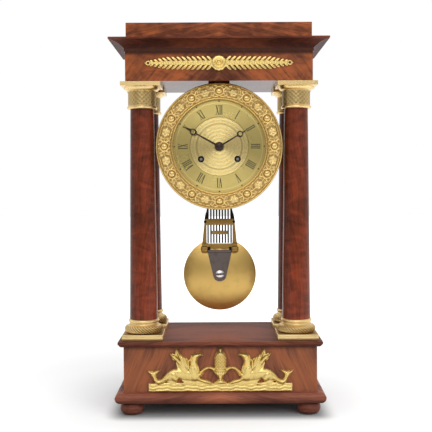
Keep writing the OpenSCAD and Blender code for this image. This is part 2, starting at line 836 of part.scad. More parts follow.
// Winding arbor with its hub, ratchet and square
module winding_arbor(p, hand) {
    step = 360 / ratchet_n;
    hub_len = great_back - great_t - barrel_front - barrel_wall - 2 * shake;
    at(p, bp_back) cylinder(h = plate_t + 1, r = hammer_arbor_r);
    at(p, bp_front - shake) cylinder(h = bp_front - shake - ratchet_back + ratchet_t, r = wind_arbor_r);
    at(p, great_back - great_t - shake) cylinder(h = hub_len, r = hub_r);
    at(p, ratchet_back) linear_extrude(ratchet_t) polygon([for (i = [0:ratchet_n - 1], k = [0, 1])
        polar(k == 0 ? ratchet_r : ratchet_r - 1.2, hand * (i + k * 0.12) * step)]);
    at(p, ratchet_back - ratchet_t + eps) translate([-wind_square / 2, -wind_square / 2, 0])
        cube([wind_square, wind_square, ratchet_back - ratchet_t - dial_front - 1]);
}

module going_arbor() { color(steel) winding_arbor(going_at, 1); }

module strike_arbor() { color(steel) winding_arbor(striking_at, -1); }

// Pivot of the click beside each ratchet
function click_pivot(s) = [s * (wind_x + click_reach * cos(click_angle)),
    -wind_drop + click_reach * sin(click_angle)];

// Click that rides on the crest of the ratchet's teeth
module click(s) {
    nose_orbit = ratchet_r + seat + click_nose_r;
    nose = polar(nose_orbit, click_angle + click_turn) - polar(click_reach, click_angle);
    at(click_pivot(s), ratchet_back) linear_extrude(ratchet_t) mirror([s < 0 ? 1 : 0, 0, 0])
        difference() {
            union() {
                circle(click_hub_r);
                translate(nose) circle(click_nose_r);
                rotate(atan2(nose[1], nose[0])) polygon([[0, -1.4], [norm(nose), -click_nose_r],
                    [norm(nose), click_nose_r], [0, 1.4]]);
            }
            circle(stud_r + run);
        }
}

module going_click() { color(steel) click(1); }

module strike_click() { color(steel) click(-1); }

module second_wheel() {
    color(brass) {
        arbor(second_at, arbor_r);
        at(second_at, second_back) linear_extrude(wheel_t) crossed_wheel(second_n, second_m, 3, 2);
        pinion(second_at, second_p, great_m, going_at, great_n, great_back + 1.5, great_t + 3);
    }
}

module centre_wheel() {
    color(brass) {
        arbor(centre_at, arbor_r);
        at(centre_at, centre_back) linear_extrude(wheel_t) crossed_wheel(centre_n, centre_m, 3, 2);
        pinion(centre_at, centre_p, second_m, second_at, second_n, second_back + 0.7, wheel_t + 1.4);
        at(centre_at, fp_back + shake) cylinder(h = fp_back + shake - minute_hand_back,
            r = centre_arbor_r);
    }
}

module third_wheel() {
    color(brass) {
        arbor(third_at, arbor_r);
        at(third_at, third_back) linear_extrude(wheel_t) crossed_wheel(third_n, third_m, 3, 2);
        pinion(third_at, third_p, centre_m, centre_at, centre_n, centre_back + 1, wheel_t + 2);
    }
}

module escape_wheel() {
    step = 360 / escape_n;
    color(brass) {
        arbor(escape_at, slim_arbor_r);
        at(escape_at, escape_back) linear_extrude(1) rotate(step / 2) difference() {
            polygon([for (i = [0:escape_n - 1], k = [[-0.11, -2.4], [-0.05, 0], [0.05, 0], [0.3, -2.4]])
                polar(escape_r + k[1], (i + k[0]) * step)]);
            difference() {
                circle(escape_r - 3.6);
                circle(2);
                for (a = [0, 90]) rotate(a) square([2 * escape_r, 1.2], center = true);
            }
        }
        pinion(escape_at, escape_p, third_m, third_at, third_n, third_back + 1.6, wheel_t + 2.4);
    }
}

module pallets() {
    nose_w = 0.8;
    inner = escape_r + 1.3;
    outer = escape_r + 3.6;
    crutch = 30;
    fork = head_w / 2 + seat;
    color(steel) {
        at(pallet_at, cock_y + cock_t) cylinder(h = cock_y + cock_t - fp_front, r = pivot_r);
        at(pallet_at, cock_y - shake) cylinder(h = cock_y - bp_front + plate_gap - 2 * shake, r = arbor_r);
        at(escape_at, escape_back + 0.2) linear_extrude(1.4) {
            difference() {
                intersection() {
                    circle(outer);
                    polygon([[0, 0], polar(2 * outer, 40), [0, 4 * outer], polar(2 * outer, 140)]);
                }
                circle(inner);
            }
            for (a = [45, 135]) rotate(a) translate([escape_r - 0.05, -nose_w / 2])
                square([2, nose_w]);
            translate([-1.6, inner + 0.4]) square([3.2, escape_drop - inner]);
        }
        at(pallet_at, escape_back + 0.2) cylinder(h = 1.4, r = 2.4);
        at(pallet_at, bp_back + 5.5) cylinder(h = 3.5, r = 3);
        at(pallet_at, bp_back + 5.5) linear_extrude(1.5) {
            translate([-1, -crutch]) square([2, crutch]);
            translate([-fork - 1.2, -crutch - 2]) square([2 * fork + 2.4, 3]);
        }
        for (s = [-1, 1]) at(pallet_at, pend_mid + 3) translate([s * (fork + 0.6) - 0.6, -crutch - 2, 0])
            cube([1.2, 3, pend_mid + 3 - bp_back - 4.5]);
    }
}

module strike_wheel() {
    color(brass) {
        arbor(strike_at, arbor_r);
        at(strike_at, strike_tail) cylinder(h = strike_tail - bp_front, r = hammer_arbor_r);
        at(strike_at, second_back) linear_extrude(wheel_t) crossed_wheel(strike_n, strike_m, 2.6, 1.8);
        pinion(strike_at, strike_p, great_m, striking_at, great_n, great_back + 1.5, great_t + 3);
    }
}

strike_tail = bp_back + 3.4;

// Locking plate with a notch after each group of blows, 90 blows in twelve hours
module count_wheel() {
    color(brass) at(strike_at, strike_tail - 0.4) linear_extrude(1.2) difference() {
        circle(count_r);
        circle(hammer_arbor_r + 0.02);
        for (h = [1:12]) rotate(4 * (h * (h + 1) / 2 + h)) translate([count_r, 0])
            square([3.2, 1], center = true);
        for (a = [0:3]) rotate(45 + 90 * a) translate([6.6, 0]) circle(2.6);
    }
}

module pin_wheel() {
    toward = bearing(pin_at, hammer_at);
    lead = asin((tail_w / 2 + pin_r + 0.1) / pin_orbit);
    color(brass) {
        arbor(pin_at, arbor_r);
        at(pin_at, pin_back) linear_extrude(wheel_t) crossed_wheel(pin_n, pin_m, 2, 1.6);
        at(pin_at, pin_back) linear_extrude(wheel_t) difference() {
            circle(pin_orbit + 0.8);
            circle(pin_orbit - 0.8);
        }
        for (i = [0:pin_count - 1]) at(pin_at, pin_back + pin_len)
            rotate(toward - lead + i * 360 / pin_count) translate([pin_orbit, 0, 0])
                cylinder(h = pin_len + eps, r = pin_r);
        pinion(pin_at, pin_p, strike_m, strike_at, strike_n, second_back + 0.8, wheel_t + 1.6);
    }
}

module warning_wheel() {
    color(brass) {
        arbor(warn_at, slim_arbor_r);
        at(warn_at, warn_back) linear_extrude(1) crossed_wheel(warn_n, warn_m, 1.8, 1.2);
        pinion(warn_at, warn_p, pin_m, pin_at, pin_n, pin_back + 0.8, wheel_t + 1.6);
    }
}

module fly() {
    vane_r = 5.6;
    vane_len = 14;
    color(brass) {
        arbor(fly_at, pivot_r);
        at(fly_at, warn_back + vane_len + 3) translate([-vane_r, -0.3, 0])
            cube([2 * vane_r, 0.6, vane_len]);
        pinion(fly_at, fly_p, warn_m, warn_at, warn_n, warn_back + 0.8, 2.6);
    }
}

module hammer() {
    tail_len = norm(pin_at - hammer_at) - pin_orbit + 1;
    stem = bp_back + 6.4;
    head_back = bell_mouth + 6;
    color(steel) {
        at(hammer_at, bp_front - shake) cylinder(h = plate_gap - 2 * shake, r = arbor_r);
        at(hammer_at, bp_back) cylinder(h = bp_back - fp_front, r = pivot_r);
        at(hammer_at, stem) cylinder(h = stem - bp_front + shake, r = hammer_arbor_r);
        at(hammer_at, pin_back + pin_len - 0.4) linear_extrude(1.6) {
            circle(1.8);
            rotate(bearing(hammer_at, pin_at)) translate([0, -tail_w / 2]) square([tail_len, tail_w]);
        }
        at(hammer_at, stem) linear_extrude(1.8) {
            circle(2.6);
            rotate(atan2(hammer_reach[1], hammer_reach[0])) translate([0, -1.2])
                square([norm(hammer_reach), 2.4]);
        }
        at(hammer_head, head_back) cylinder(h = head_back - stem + 1.8, r = 1.4);
        at(hammer_head, head_back) cylinder(h = 7, r = hammer_r);
    }
}

module bell() {
    outer = bow([bell_r, 0], [bell_flat, bell_h], -bell_sag, 12);
    inner = bow([bell_flat, bell_h - bell_wall], [bell_r - bell_wall, 0], bell_sag, 12);
    color(brass) at([0, 0], bell_mouth) mirror([0, 0, 1]) rotate_extrude() polygon(concat(outer,
        [[2.1, bell_h], [2.1, bell_h - bell_wall]], inner));
}

module bell_stand() {
    arm_y = bell_mouth + bell_h;
    arm_t = 3;
    arm_w = 7;
    reach = norm(bell_post);
    color(brass) {
        at(bell_post, bp_back + 2.5) cylinder(h = 2.5, r = 5);
        at(bell_post, arm_y + arm_t) cylinder(h = arm_y + arm_t - bp_back, r = 2.6);
        at([0, 0], arm_y + arm_t) linear_extrude(arm_t) difference() {
            union() {
                circle(5);
                rotate(bearing([0, 0], bell_post)) translate([0, -arm_w / 2]) square([reach, arm_w]);
                translate(bell_post) circle(arm_w / 2);
            }
            circle(2.1);
        }
    }
    color(steel) at([0, 0], arm_y + arm_t + 2) {
        cylinder(h = 2 - eps, r = 4);
        cylinder(h = 2 + arm_t + bell_wall + 2, r = 2);
        translate([0, 0, 2 + arm_t + bell_wall + eps]) cylinder(h = 2, r = 3.6);
    }
}

module suspension_cock() {
    stud_low = pallet_rise + 1;
    stud_h = 7;
    stud_half = 3.2;
    slit = 1;
    color(brass) {
        for (s = [-1, 1]) at(pallet_at + [s * cock_foot, 0], cock_y) cylinder(h = cock_y - bp_back, r = 2.6);
        at(pallet_at, cock_y + cock_t) linear_extrude(cock_t) difference() {
            union() {
                for (s = [-1, 1]) translate([s * cock_foot, 0]) circle(3.6);
                square([2 * cock_foot, 6], center = true);
                translate([-stud_half, 0]) square([2 * stud_half, stud_h + 1]);
            }
            circle(pivot_r + run);
        }
        at([0, stud_low], pend_mid + 3) difference() {
            translate([-stud_half, 0, 0]) cube([2 * stud_half, stud_h, pend_mid + 3 - cock_y - cock_t + eps]);
            translate([-slit / 2, -1, -1]) cube([slit, stud_h - 2, spring_w + 3]);
        }
    }
}

module suspension_spring() {
    rise = 3;
    color(steel) at(pallet_at, pend_mid + spring_w / 2) translate([-spring_t / 2, -spring_drop - 3, 0])
        cube([spring_t, spring_drop + 3 + rise, spring_w]);
}

module cannon_pinion() {
    back = fp_front - 0.4;
    front = minute_hand_back - hand_t - 0.5;
    color(brass) {
        at(centre_at, back) difference() {
            cylinder(h = back - front, r = cannon_pipe_r);
            translate([0, 0, -1]) cylinder(h = back - front + 2, r = centre_arbor_r + run);
        }
        at(centre_at, cannon_back) linear_extrude(wheel_t) difference() {
            leaves(cannon_p, minute_m);
            circle(centre_arbor_r + run);
        }
    }
}

module minute_wheel() {
    color(brass) at(minute_at, cannon_back) difference() {
        union() {
            linear_extrude(wheel_t) rotate(mesh_phase(centre_at, cannon_p, minute_at, minute_n))
                teeth(minute_n, minute_m);
            linear_extrude(wheel_t + 2.6) leaves(minute_p, hour_m);
        }
        translate([0, 0, -1]) cylinder(h = wheel_t + 5, r = stud_r + run);
    }
}

module hour_wheel() {
    tip = hour_hand_back - hand_t - 0.5;
    color(brass) at(centre_at, hour_back) difference() {
        union() {
            linear_extrude(wheel_t) rotate(mesh_phase(minute_at, minute_p, centre_at, hour_n))
                teeth(hour_n, hour_m);
            cylinder(h = hour_back - tip, r = hour_pipe_r);
        }
        translate([0, 0, -1]) cylinder(h = hour_back - tip + 2, r = cannon_pipe_r + run);
    }
}

// Flat hand with a pierced moon near its tip, pointing to twelve
module moon_hand(length, moon, moon_r, boss_r) {
    circle(boss_r);
    difference() {
        translate([0, moon]) circle(moon_r);
        translate([0, moon + 0.5]) circle(moon_r - 1.3);
    }
    polygon([[-1, 0], [1, 0], [0.6, moon - moon_r + 0.3], [-0.6, moon - moon_r + 0.3]]);
    polygon([[-1, moon + moon_r - 0.4], [1, moon + moon_r - 0.4], [0.2, length], [-0.2, length]]);
}

module hour_hand() {
    color(blued) at(centre_at, hour_hand_back) linear_extrude(hand_t) rotate(-hour_angle) difference() {
        moon_hand(hour_len, hour_len - 9, 3.8, 4.6);
        circle(hour_pipe_r + 0.02);
    }
}

module minute_hand() {
    color(blued) at(centre_at, minute_hand_back) difference() {
        union() {
            linear_extrude(hand_t) rotate(-minute_angle) moon_hand(minute_len, minute_len - 15, 4, 3.6);
            translate([0, 0, hand_t - eps]) intersection() {
                cylinder(h = collet_h, r = collet_r);
                translate([0, 0, collet_h - 8]) sphere(8);
            }
        }
        translate([0, 0, -1]) cylinder(h = hand_t + 1.6, r = cannon_pipe_r + 0.02);
    }
}

module pendulum_head() {
    block_top = pallet_rise - spring_drop;
    block_h = 6;
    neck = grid_top + 6;
    color(brass) {
        at([0, block_top - block_h], pend_mid + 2.5) difference() {
            translate([-3.5, 0, 0]) cube([7, block_h, 5]);
            translate([-spring_t / 2 - 0.01, block_h - 3, -1]) cube([spring_t + 0.02, 4, 7]);
        }
        at([0, neck - eps], pend_mid + 1.5) translate([-head_w / 2, 0, 0])
            cube([head_w, block_top - block_h - neck + 2 * eps, 3]);
        at([0, grid_top], pend_mid + 2.5) linear_extrude(pend_mid + 3 - rods_front) polygon(concat(
            [[-grid_half - 1.2, 0], [grid_half + 1.2, 0]],
            bow([grid_half + 1.2, 2], [head_w / 2, 6], -1.4, 5),
            bow([-head_w / 2, 6], [-grid_half - 1.2, 2], -1.4, 5)));
    }
}

module gridiron_rods() {
    color(steel) for (i = [0:rod_count - 1]) at([(i - (rod_count - 1) / 2) * rod_pitch, yoke_top],
        rods_front + rods_t) translate([-rod_w / 2, 0, 0]) cube([rod_w, grid_top - yoke_top, rods_t]);
}

module gridiron_frame() {
    bar_y = rods_front;
    bar1_rise = 25;
    bar1 = yoke_top + bar1_rise;
    bar1_h = 8;
    bar2 = yoke_top + 11.8;
    bar2_h = 4.8;
    low_half = 23;
    bar_half = 19.4;
    strip_w = 3.6;
    foot_w = 5.6;
    shoulder = bar1 + bar1_h + 13;
    bottom = yoke_top - yoke_h;
    front = pend_mid - bob_t / 2 - tongue_t - 1.5;
    yoke_t = yoke_back - front;
    color(ormolu) {
        at([0, bar1], bar_y) translate([-bar_half, 0, 0]) cube([2 * bar_half, bar1_h, bar_t]);
        at([0, bar2], bar_y) translate([-10.1, 0, 0]) cube([20.2, bar2_h, bar_t]);
        for (s = [0, 1]) mirror([s, 0, 0]) at([0, 0], rods_front + rods_t) {
            linear_extrude(rods_t) polygon(concat(
                [[low_half - foot_w, yoke_top - eps], [low_half, yoke_top - eps],
                 [bar_half + 0.6, bar1 + bar1_h / 2]],
                bow([bar_half + 0.4, bar1 + bar1_h], [grid_half, shoulder], 1.2, 5),
                bow([grid_half, shoulder - 5], [bar_half - strip_w + 0.4, bar1 + bar1_h - 2], 0.8, 5)));
            translate([bar_half - 1.6, bar1, 0]) linear_extrude(rods_t + eps) square([1.6, bar1_h]);
        }
        difference() {
            union() {
                at([0, bottom], yoke_back) translate([-low_half, 0, 0])
                    cube([2 * low_half, yoke_h, yoke_t]);
                for (s = [-1, 1]) at([s * knob_x, bottom - 0.8], yoke_back) {
                    cylinder(h = yoke_t, r = knob_r);
                    translate([0, 0, yoke_t]) intersection() {
                        translate([0, 0, -7]) sphere(8.4);
                        translate([0, 0, -eps]) cylinder(h = 3, r = knob_r - 0.6);
                    }
                }
            }
            at([0, bottom - 3.4], yoke_back + 1) translate([-knob_x + knob_r, 0, 0])
                cube([2 * (knob_x - knob_r), 3.4, 20]);
        }
    }
}

module bob() {
    rim = 1;
    r = bob_d / 2;
    bore = 2 + run;
    face = bob_t / 2;
    sag = (face - rim) / 4;
    // open at the top, where the gridiron stands
    gate = rod_count / 2 * rod_pitch;
    color(brass) at([0, bob_rise], pend_mid) difference() {
        rotate_extrude() polygon(concat(
            [[bore, -face]], bow([tongue_flat, -face], [r, -rim], -sag, 14),
            bow([r, rim], [tongue_flat, face], -sag, 14), [[bore, face]]));
        translate([-gate, yoke_top - bob_rise - 0.9, -face - 1]) cube([2 * gate, r, 2 * face + 2]);
    }
}

module bob_tongue() {
    face = pend_mid - bob_t / 2;
    tip_r = 8.2;
    top = yoke_top - yoke_h - bob_rise;
    wide = 16.5;
    color(steel) {
        at([0, bob_rise], face) linear_extrude(tongue_t) difference() {
            union() {
                polygon([[-wide, top], [-wide, top - 3.4], [-tip_r, -1.4], [tip_r, -1.4],
                    [wide, top - 3.4], [wide, top]]);
                translate([0, -1.4]) circle(tip_r);
            }
            circle(2 + run);
            for (s = [-1, 1]) translate([s * knob_x, top - 0.8]) circle(knob_r + run);
        }
        at([0, bob_rise], pend_mid) {
            cylinder(h = pend_mid - face + tongue_t + eps, r = 2);
            translate([0, 0, pend_mid - face + tongue_t]) intersection() {
                cylinder(h = 2, r = 6.1);
                translate([0, 0, 2 - 12]) sphere(12);
            }
        }
    }
}

bun_feet();
plinth_board();
base_case();
base_top();
column_bases();
column_front_left();
column_front_right();
column_back_left();
column_back_right();
capitals();
column_tie_rods();
entablature();
cornice();
attic();
frieze_mount();
base_mount();
saddle();
case_screws();
drum();
bezel();
dial();
front_plate();
back_plate();
plate_pillars();
back_ring();
straps();
going_barrel();
going_mainspring();
going_arbor();
going_click();
second_wheel();
centre_wheel();
third_wheel();
escape_wheel();
pallets();
strike_barrel();
strike_mainspring();
strike_arbor();
strike_click();
strike_wheel();
count_wheel();
pin_wheel();
warning_wheel();
fly();
hammer();
bell();
bell_stand();
suspension_cock();
suspension_spring();
cannon_pinion();
minute_wheel();
hour_wheel();
hour_hand();
minute_hand();
pendulum_head();
gridiron_rods();
gridiron_frame();
bob();
bob_tongue();
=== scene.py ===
"""Finishes and fine ornament of a mahogany portico clock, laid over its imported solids."""

import math

import bmesh
import bpy
import numpy as np
from bpy.props import FloatProperty, FloatVectorProperty, IntProperty, PointerProperty
from mathutils import Matrix, Vector


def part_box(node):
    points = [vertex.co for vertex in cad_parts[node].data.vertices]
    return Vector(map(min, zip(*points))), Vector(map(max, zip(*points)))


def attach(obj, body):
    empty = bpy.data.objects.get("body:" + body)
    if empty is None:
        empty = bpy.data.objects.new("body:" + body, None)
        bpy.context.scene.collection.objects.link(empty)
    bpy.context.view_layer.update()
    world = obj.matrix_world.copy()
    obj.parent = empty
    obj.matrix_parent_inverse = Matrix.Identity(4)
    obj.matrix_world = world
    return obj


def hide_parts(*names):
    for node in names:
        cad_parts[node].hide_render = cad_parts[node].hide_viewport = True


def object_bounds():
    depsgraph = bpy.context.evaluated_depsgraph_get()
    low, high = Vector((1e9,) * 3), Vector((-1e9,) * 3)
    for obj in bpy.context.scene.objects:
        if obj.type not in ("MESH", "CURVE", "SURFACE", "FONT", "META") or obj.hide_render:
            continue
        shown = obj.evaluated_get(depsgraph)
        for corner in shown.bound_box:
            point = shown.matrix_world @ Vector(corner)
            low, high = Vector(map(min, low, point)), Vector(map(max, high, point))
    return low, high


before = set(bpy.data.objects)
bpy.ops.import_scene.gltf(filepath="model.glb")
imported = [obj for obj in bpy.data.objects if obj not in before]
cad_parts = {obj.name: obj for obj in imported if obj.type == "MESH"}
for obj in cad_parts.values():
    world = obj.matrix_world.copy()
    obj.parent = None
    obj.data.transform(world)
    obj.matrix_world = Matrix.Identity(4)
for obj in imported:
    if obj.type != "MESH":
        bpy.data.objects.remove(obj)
CAD_BOX = [list(corner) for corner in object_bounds()]

bl_info = {
    "name": "Portico Clock",
    "version": (1, 0, 0),
    "blender": (4, 5, 0),
    "location": "3D View > Sidebar > Clock",
    "description": "Dresses a portico clock with wood, gilding, dial, mounts and a studio",
    "category": "Object",
}

MM = 0.001
# points closer than this, in millimetres, are one
MERGE = 1e-4


def srgb(red, green, blue):
    """Linear colour of an 8-bit screen colour."""
    return tuple(
        c / 12.92 if c <= 0.04045 else ((c + 0.055) / 1.055) ** 2.4
        for c in (red / 255, green / 255, blue / 255)
    )


def middle(node):
    """Middle of a CAD node's box, in millimetres."""
    low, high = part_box(node)
    return (low + high) / 2 / MM


def toned(shade, *factors):
    """A colour made darker or lighter, by one factor or by one for each channel."""
    return tuple(min(1, c * k) for c, k in zip(shade, factors * 3))


DIAL_THICK = 1.5
YOKE_LAP = 1.5
DIAL_Z = middle("bezel").z
DIAL_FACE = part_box("drum")[0].y / MM - DIAL_THICK
BEZEL_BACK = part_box("bezel")[1].y / MM
COLUMN_X = middle("column_front_right").x
COLUMN_Y = -middle("column_front_right").y
FLOOR_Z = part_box("column_bases")[0].z / MM
CASE_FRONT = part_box("base_case")[0].y / MM
CASE_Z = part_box("base_case")[0].z / MM
FRIEZE_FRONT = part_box("frieze_mount")[1].y / MM
FRIEZE_MOUNT_Z = middle("frieze_mount").z
BOB_Z = middle("bob").z
YOKE_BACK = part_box("gridiron_rods")[0].y / MM + YOKE_LAP


# Settings


def colour(label, description, value):
    return FloatVectorProperty(
        name=label, description=description, subtype="COLOR", size=3, min=0, max=1, default=value
    )


def number(label, description, value, **limits):
    return FloatProperty(name=label, description=description, default=value, **limits)


class ClockWood(bpy.types.PropertyGroup):
    """Colours of the mahogany"""

    dark: colour("Dark figure", "Darkest streaks of the case veneer", srgb(72, 34, 20))
    mid: colour("Ground", "Ground colour of the case veneer", srgb(106, 58, 38))
    light: colour("Light figure", "Lightest flame of the case veneer", srgb(150, 80, 46))
    band_dark: colour("Banding dark", "Darkest streaks of the mouldings", srgb(72, 34, 25))
    band_mid: colour("Banding ground", "Ground colour of the mouldings", srgb(104, 53, 38))
    band_light: colour("Banding light", "Lightest flame of the mouldings", srgb(136, 72, 48))
    shaft_dark: colour("Shaft dark", "Darkest streaks of the columns", srgb(55, 27, 16))
    shaft_mid: colour("Shaft ground", "Ground colour of the columns", srgb(96, 42, 25))
    shaft_light: colour("Shaft light", "Lightest flame of the columns", srgb(134, 58, 34))
    polish: number("Polish", "Roughness of the polished wood", 0.2, min=0, max=1)


class ClockMetal(bpy.types.PropertyGroup):
    """Colours of the gilding, brass and steel"""

    mount: colour("Mounts", "Burnished gilding of the applied mounts", srgb(230, 202, 126))
    bezel: colour("Bezel", "Gilding of the cast bezel", srgb(232, 202, 134))
    capital: colour("Capitals", "Older gilding of capitals and column bases", srgb(238, 208, 146))
    dial: colour("Dial", "Matt gilding of the dial", srgb(212, 190, 118))
    centre: colour("Dial centre", "Brighter engine-turned dial centre", srgb(248, 222, 150))
    bob: colour("Bob", "Satin brass of the bob", srgb(222, 184, 108))
    bronze: colour("Frame", "Bronzed bars of the pendulum", srgb(160, 126, 70))
    brass: colour("Brass", "Plates and wheels", srgb(205, 165, 90))
    steel: colour("Steel", "Bright steel", srgb(150, 148, 150))
    tongue: colour("Tongue", "Grey steel of the bob's tongue", srgb(112, 101, 97))
    screw: colour("Screw", "Polished screw in the tongue", srgb(238, 234, 236))
    blued: colour("Hands", "Dark blued hands", srgb(46, 30, 24))
    numeral: colour("Numerals", "Filling of the engraved numerals", srgb(52, 48, 30))


class ClockStage(bpy.types.PropertyGroup):
    """Studio and camera"""

    lens: number("Lens", "Focal length on a 36 mm sensor", 66.4, min=20, max=200)
    distance: number("Distance", "From the clock's middle to the camera", 1.0262, unit="LENGTH")
    height: number("Height", "Camera above the ground", 0.2812, unit="LENGTH")
    tilt: number("Tilt", "Camera's look downwards", 0.0395, subtype="ANGLE")
    ambient: number("Ambient", "Light from all round", 0.62, min=0, max=2)
    room: number("Room", "What metal reflects from the front", 0.34, min=0, max=1)


class ClockSettings(bpy.types.PropertyGroup):
    """All settings of the portico clock"""

    wood: PointerProperty(type=ClockWood)
    metal: PointerProperty(type=ClockMetal)
    stage: PointerProperty(type=ClockStage)
    gadroons: IntProperty(
        name="Gadroons", description="Lobes round each column base", default=36, min=8, max=60
    )


# Shader values and finishes


def maths(operation):
    """A method that adds one Math node."""

    def method(first, *others):
        sockets = dict(enumerate((first, *others)))
        return first.finish.node("ShaderNodeMath", {"operation": operation}, sockets)

    return method


class Value:
    """A shader value that can stand in plain arithmetic."""

    def __init__(self, finish, socket):
        self.finish = finish
        self.socket = socket

    __add__ = __radd__ = maths("ADD")
    __mul__ = __rmul__ = maths("MULTIPLY")
    __sub__ = maths("SUBTRACT")
    __truediv__ = maths("DIVIDE")
    __pow__ = maths("POWER")
    __abs__ = maths("ABSOLUTE")
    sin = maths("SINE")
    angle = maths("ARCTAN2")
    most = maths("MAXIMUM")

    def __rsub__(self, other):
        return self.finish.node("ShaderNodeMath", {"operation": "SUBTRACT"}, {0: other, 1: self})

    def clamp(self):
        return self.finish.node("ShaderNodeClamp", {}, {"Value": self})

    def step(self, low, high):
        """Rises smoothly from 0 at low to 1 at high."""
        return self.finish.node(
            "ShaderNodeMapRange",
            {"interpolation_type": "SMOOTHSTEP"},
            {"Value": self, "From Min": low, "From Max": high},
        )

    def hypot(self, other):
        return (self * self + other * other) ** 0.5


class Shading:
    """A node tree that is filled by one method."""

    def __init__(self, tree):
        self.tree = tree

    def node(self, kind, settings, sockets, out=0):
        made = self.tree.nodes.new(kind)
        for key, value in settings.items():
            if key == "stops":
                while len(made.color_ramp.elements) < len(value):
                    made.color_ramp.elements.new(0.5)
                for element, (position, shade) in zip(made.color_ramp.elements, value):
                    element.position = position
                    element.color = (*shade, 1)
            else:
                setattr(made, key, value)
        for key, value in sockets.items():
            if isinstance(value, Value):
                self.tree.links.new(value.socket, made.inputs[key])
            elif made.inputs[key].type == "RGBA":
                made.inputs[key].default_value = (*value, 1)
            else:
                made.inputs[key].default_value = value
        return None if out is None else Value(self, made.outputs[out])

    def parts(self, vector):
        split = self.node("ShaderNodeSeparateXYZ", {}, {0: vector}).socket.node
        return [Value(self, socket) for socket in split.outputs]

    def join(self, x, y, z):
        return self.node("ShaderNodeCombineXYZ", {}, {0: x, 1: y, 2: z})

    def ray(self, kind):
        """1 for rays of a kind, such as Camera."""
        return self.node("ShaderNodeLightPath", {}, {}, f"Is {kind} Ray")


class Finish(Shading):
    """A procedural material on Object coordinates, given in millimetres."""

    def __init__(self, name, **constants):
        self.material = bpy.data.materials.new(name)
        self.material.use_nodes = True
        super().__init__(self.material.node_tree)
        self.shader = self.tree.nodes["Principled BSDF"]
        for socket, value in constants.items():
            self.shader.inputs[socket.replace("_", " ")].default_value = value

    def place(self, scale=(1000, 1000, 1000), shift=(0, 0, 0)):
        at = self.node("ShaderNodeTexCoord", {}, {}, "Object")
        return self.node("ShaderNodeMapping", {}, {"Vector": at, "Scale": scale, "Location": shift})

    def noise(self, vector, scale=1.0, detail=3.0, roughness=0.5, distortion=0.0):
        sockets = {"Vector": vector, "Scale": scale, "Detail": detail}
        sockets |= {"Roughness": roughness, "Distortion": distortion}
        return self.node("ShaderNodeTexNoise", {}, sockets)

    def ramp(self, value, stops):
        return self.node("ShaderNodeValToRGB", {"stops": stops}, {"Fac": value})

    def mix(self, factor, a, b):
        return self.node("ShaderNodeMix", {"data_type": "RGBA"}, {0: factor, 6: a, 7: b}, 2)

    def bump(self, height, strength, distance):
        sockets = {"Height": height, "Strength": strength, "Distance": distance * MM}
        return self.node("ShaderNodeBump", {}, sockets)

    def feed(self, **sockets):
        for name, value in sockets.items():
            self.tree.links.new(value.socket, self.shader.inputs[name.replace("_", " ")])
        return self.material


def wood(name, shades, polish, flame, ripple=0.0, coat=0.05, spread=0.085, ends=0.0, painted_shade_band=None):
    """French-polished mahogany; its flame leans and is matched about the clock's middle."""
    dark, mid, light = shades
    lean_x, lean_y, lean_z = flame
    f = Finish(name, Coat_Weight=coat, Coat_Roughness=0.12, Specular_IOR_Level=0.16)
    x, y, z = f.parts(f.place((1, 1, 1)))
    across = abs(x) * lean_x + y * lean_y + z * lean_z
    along = z * lean_x - abs(x) * lean_z

    def grain(wide, deep, long, *noise, way=across):
        """Noise drawn out along the grain, by its scales per metre."""
        return f.noise(f.join(way * wide, y * deep, along * long), 1, *noise)

    swaying = across + grain(7, 7, 5, 2, 0.5) * 0.05
    broad = grain(26, 9, 6, 3, 0.5, 0.7, way=swaying)
    streak = grain(340, 60, 12, 4, 0.65, way=swaying)
    fine = grain(900, 500, 60, 2, 0.5)
    pores = grain(2400, 1500, 160, 1, 0.5).step(0.6, 0.72)
    curl = f.noise(f.join(x * 45, y * 45, z * 75), 1, 3, 0.55, 1.2)
    tone = broad * (0.6 - ripple) + streak * 0.26 + curl * ripple + fine * 0.14
    if ends:
        # lighter towards the ends of a long board
        tone = tone + (abs(x) - 0.06) * ends
    ground = f.ramp(tone, [(0.5 - spread, dark), (0.5, mid), (0.5 + 1.15 * spread, light)])
    surface = f.mix(pores * 0.3, ground, toned(dark, 0.5))
    if painted_shade_band:
        # painted shade below a moulding: darker towards the top of the board
        low, high, depth = painted_shade_band
        surface = f.mix((z - low).step(0, high - low) * depth, surface, toned(dark, 0.6))
    rough = polish + streak * 0.08 + pores * 0.12
    dents = f.noise(f.place(), 0.05, 3, 0.5) * 0.7 + fine * 0.3
    return f.feed(Base_Color=surface, Roughness=rough, Normal=f.bump(dents, 0.12, 0.25))


def gilding(name, shade, rough, tarnish, chased=0.0, deep=0.28):
    """Fire gilding: bright on its high places, brown in the hollows and where it has worn."""
    grain = 0.06
    f = Finish(name, Metallic=0.92)
    worn = f.noise(f.place(), 0.16, 5, 0.62)
    speck = f.noise(f.place(), 1.6, 3, 0.6)
    hollow = f.node("ShaderNodeAttribute", {"attribute_name": "hollow"}, {}, "Fac")
    dull = (worn.step(0.5, 0.85) * tarnish + hollow.step(0.02, deep) * 0.9).clamp()
    pits = {"Vector": f.place(), "Scale": 0.7}
    cells = f.node("ShaderNodeTexVoronoi", {"feature": "SMOOTH_F1"}, pits, "Distance")
    height = speck * grain + worn * 2 * grain - cells * chased
    return f.feed(
        Base_Color=f.mix(dull, shade, toned(shade, 0.42, 0.35, 0.27)),
        Roughness=rough + speck * 0.14 + dull * 0.16,
        Normal=f.bump(height, 1.0, 0.4),
    )


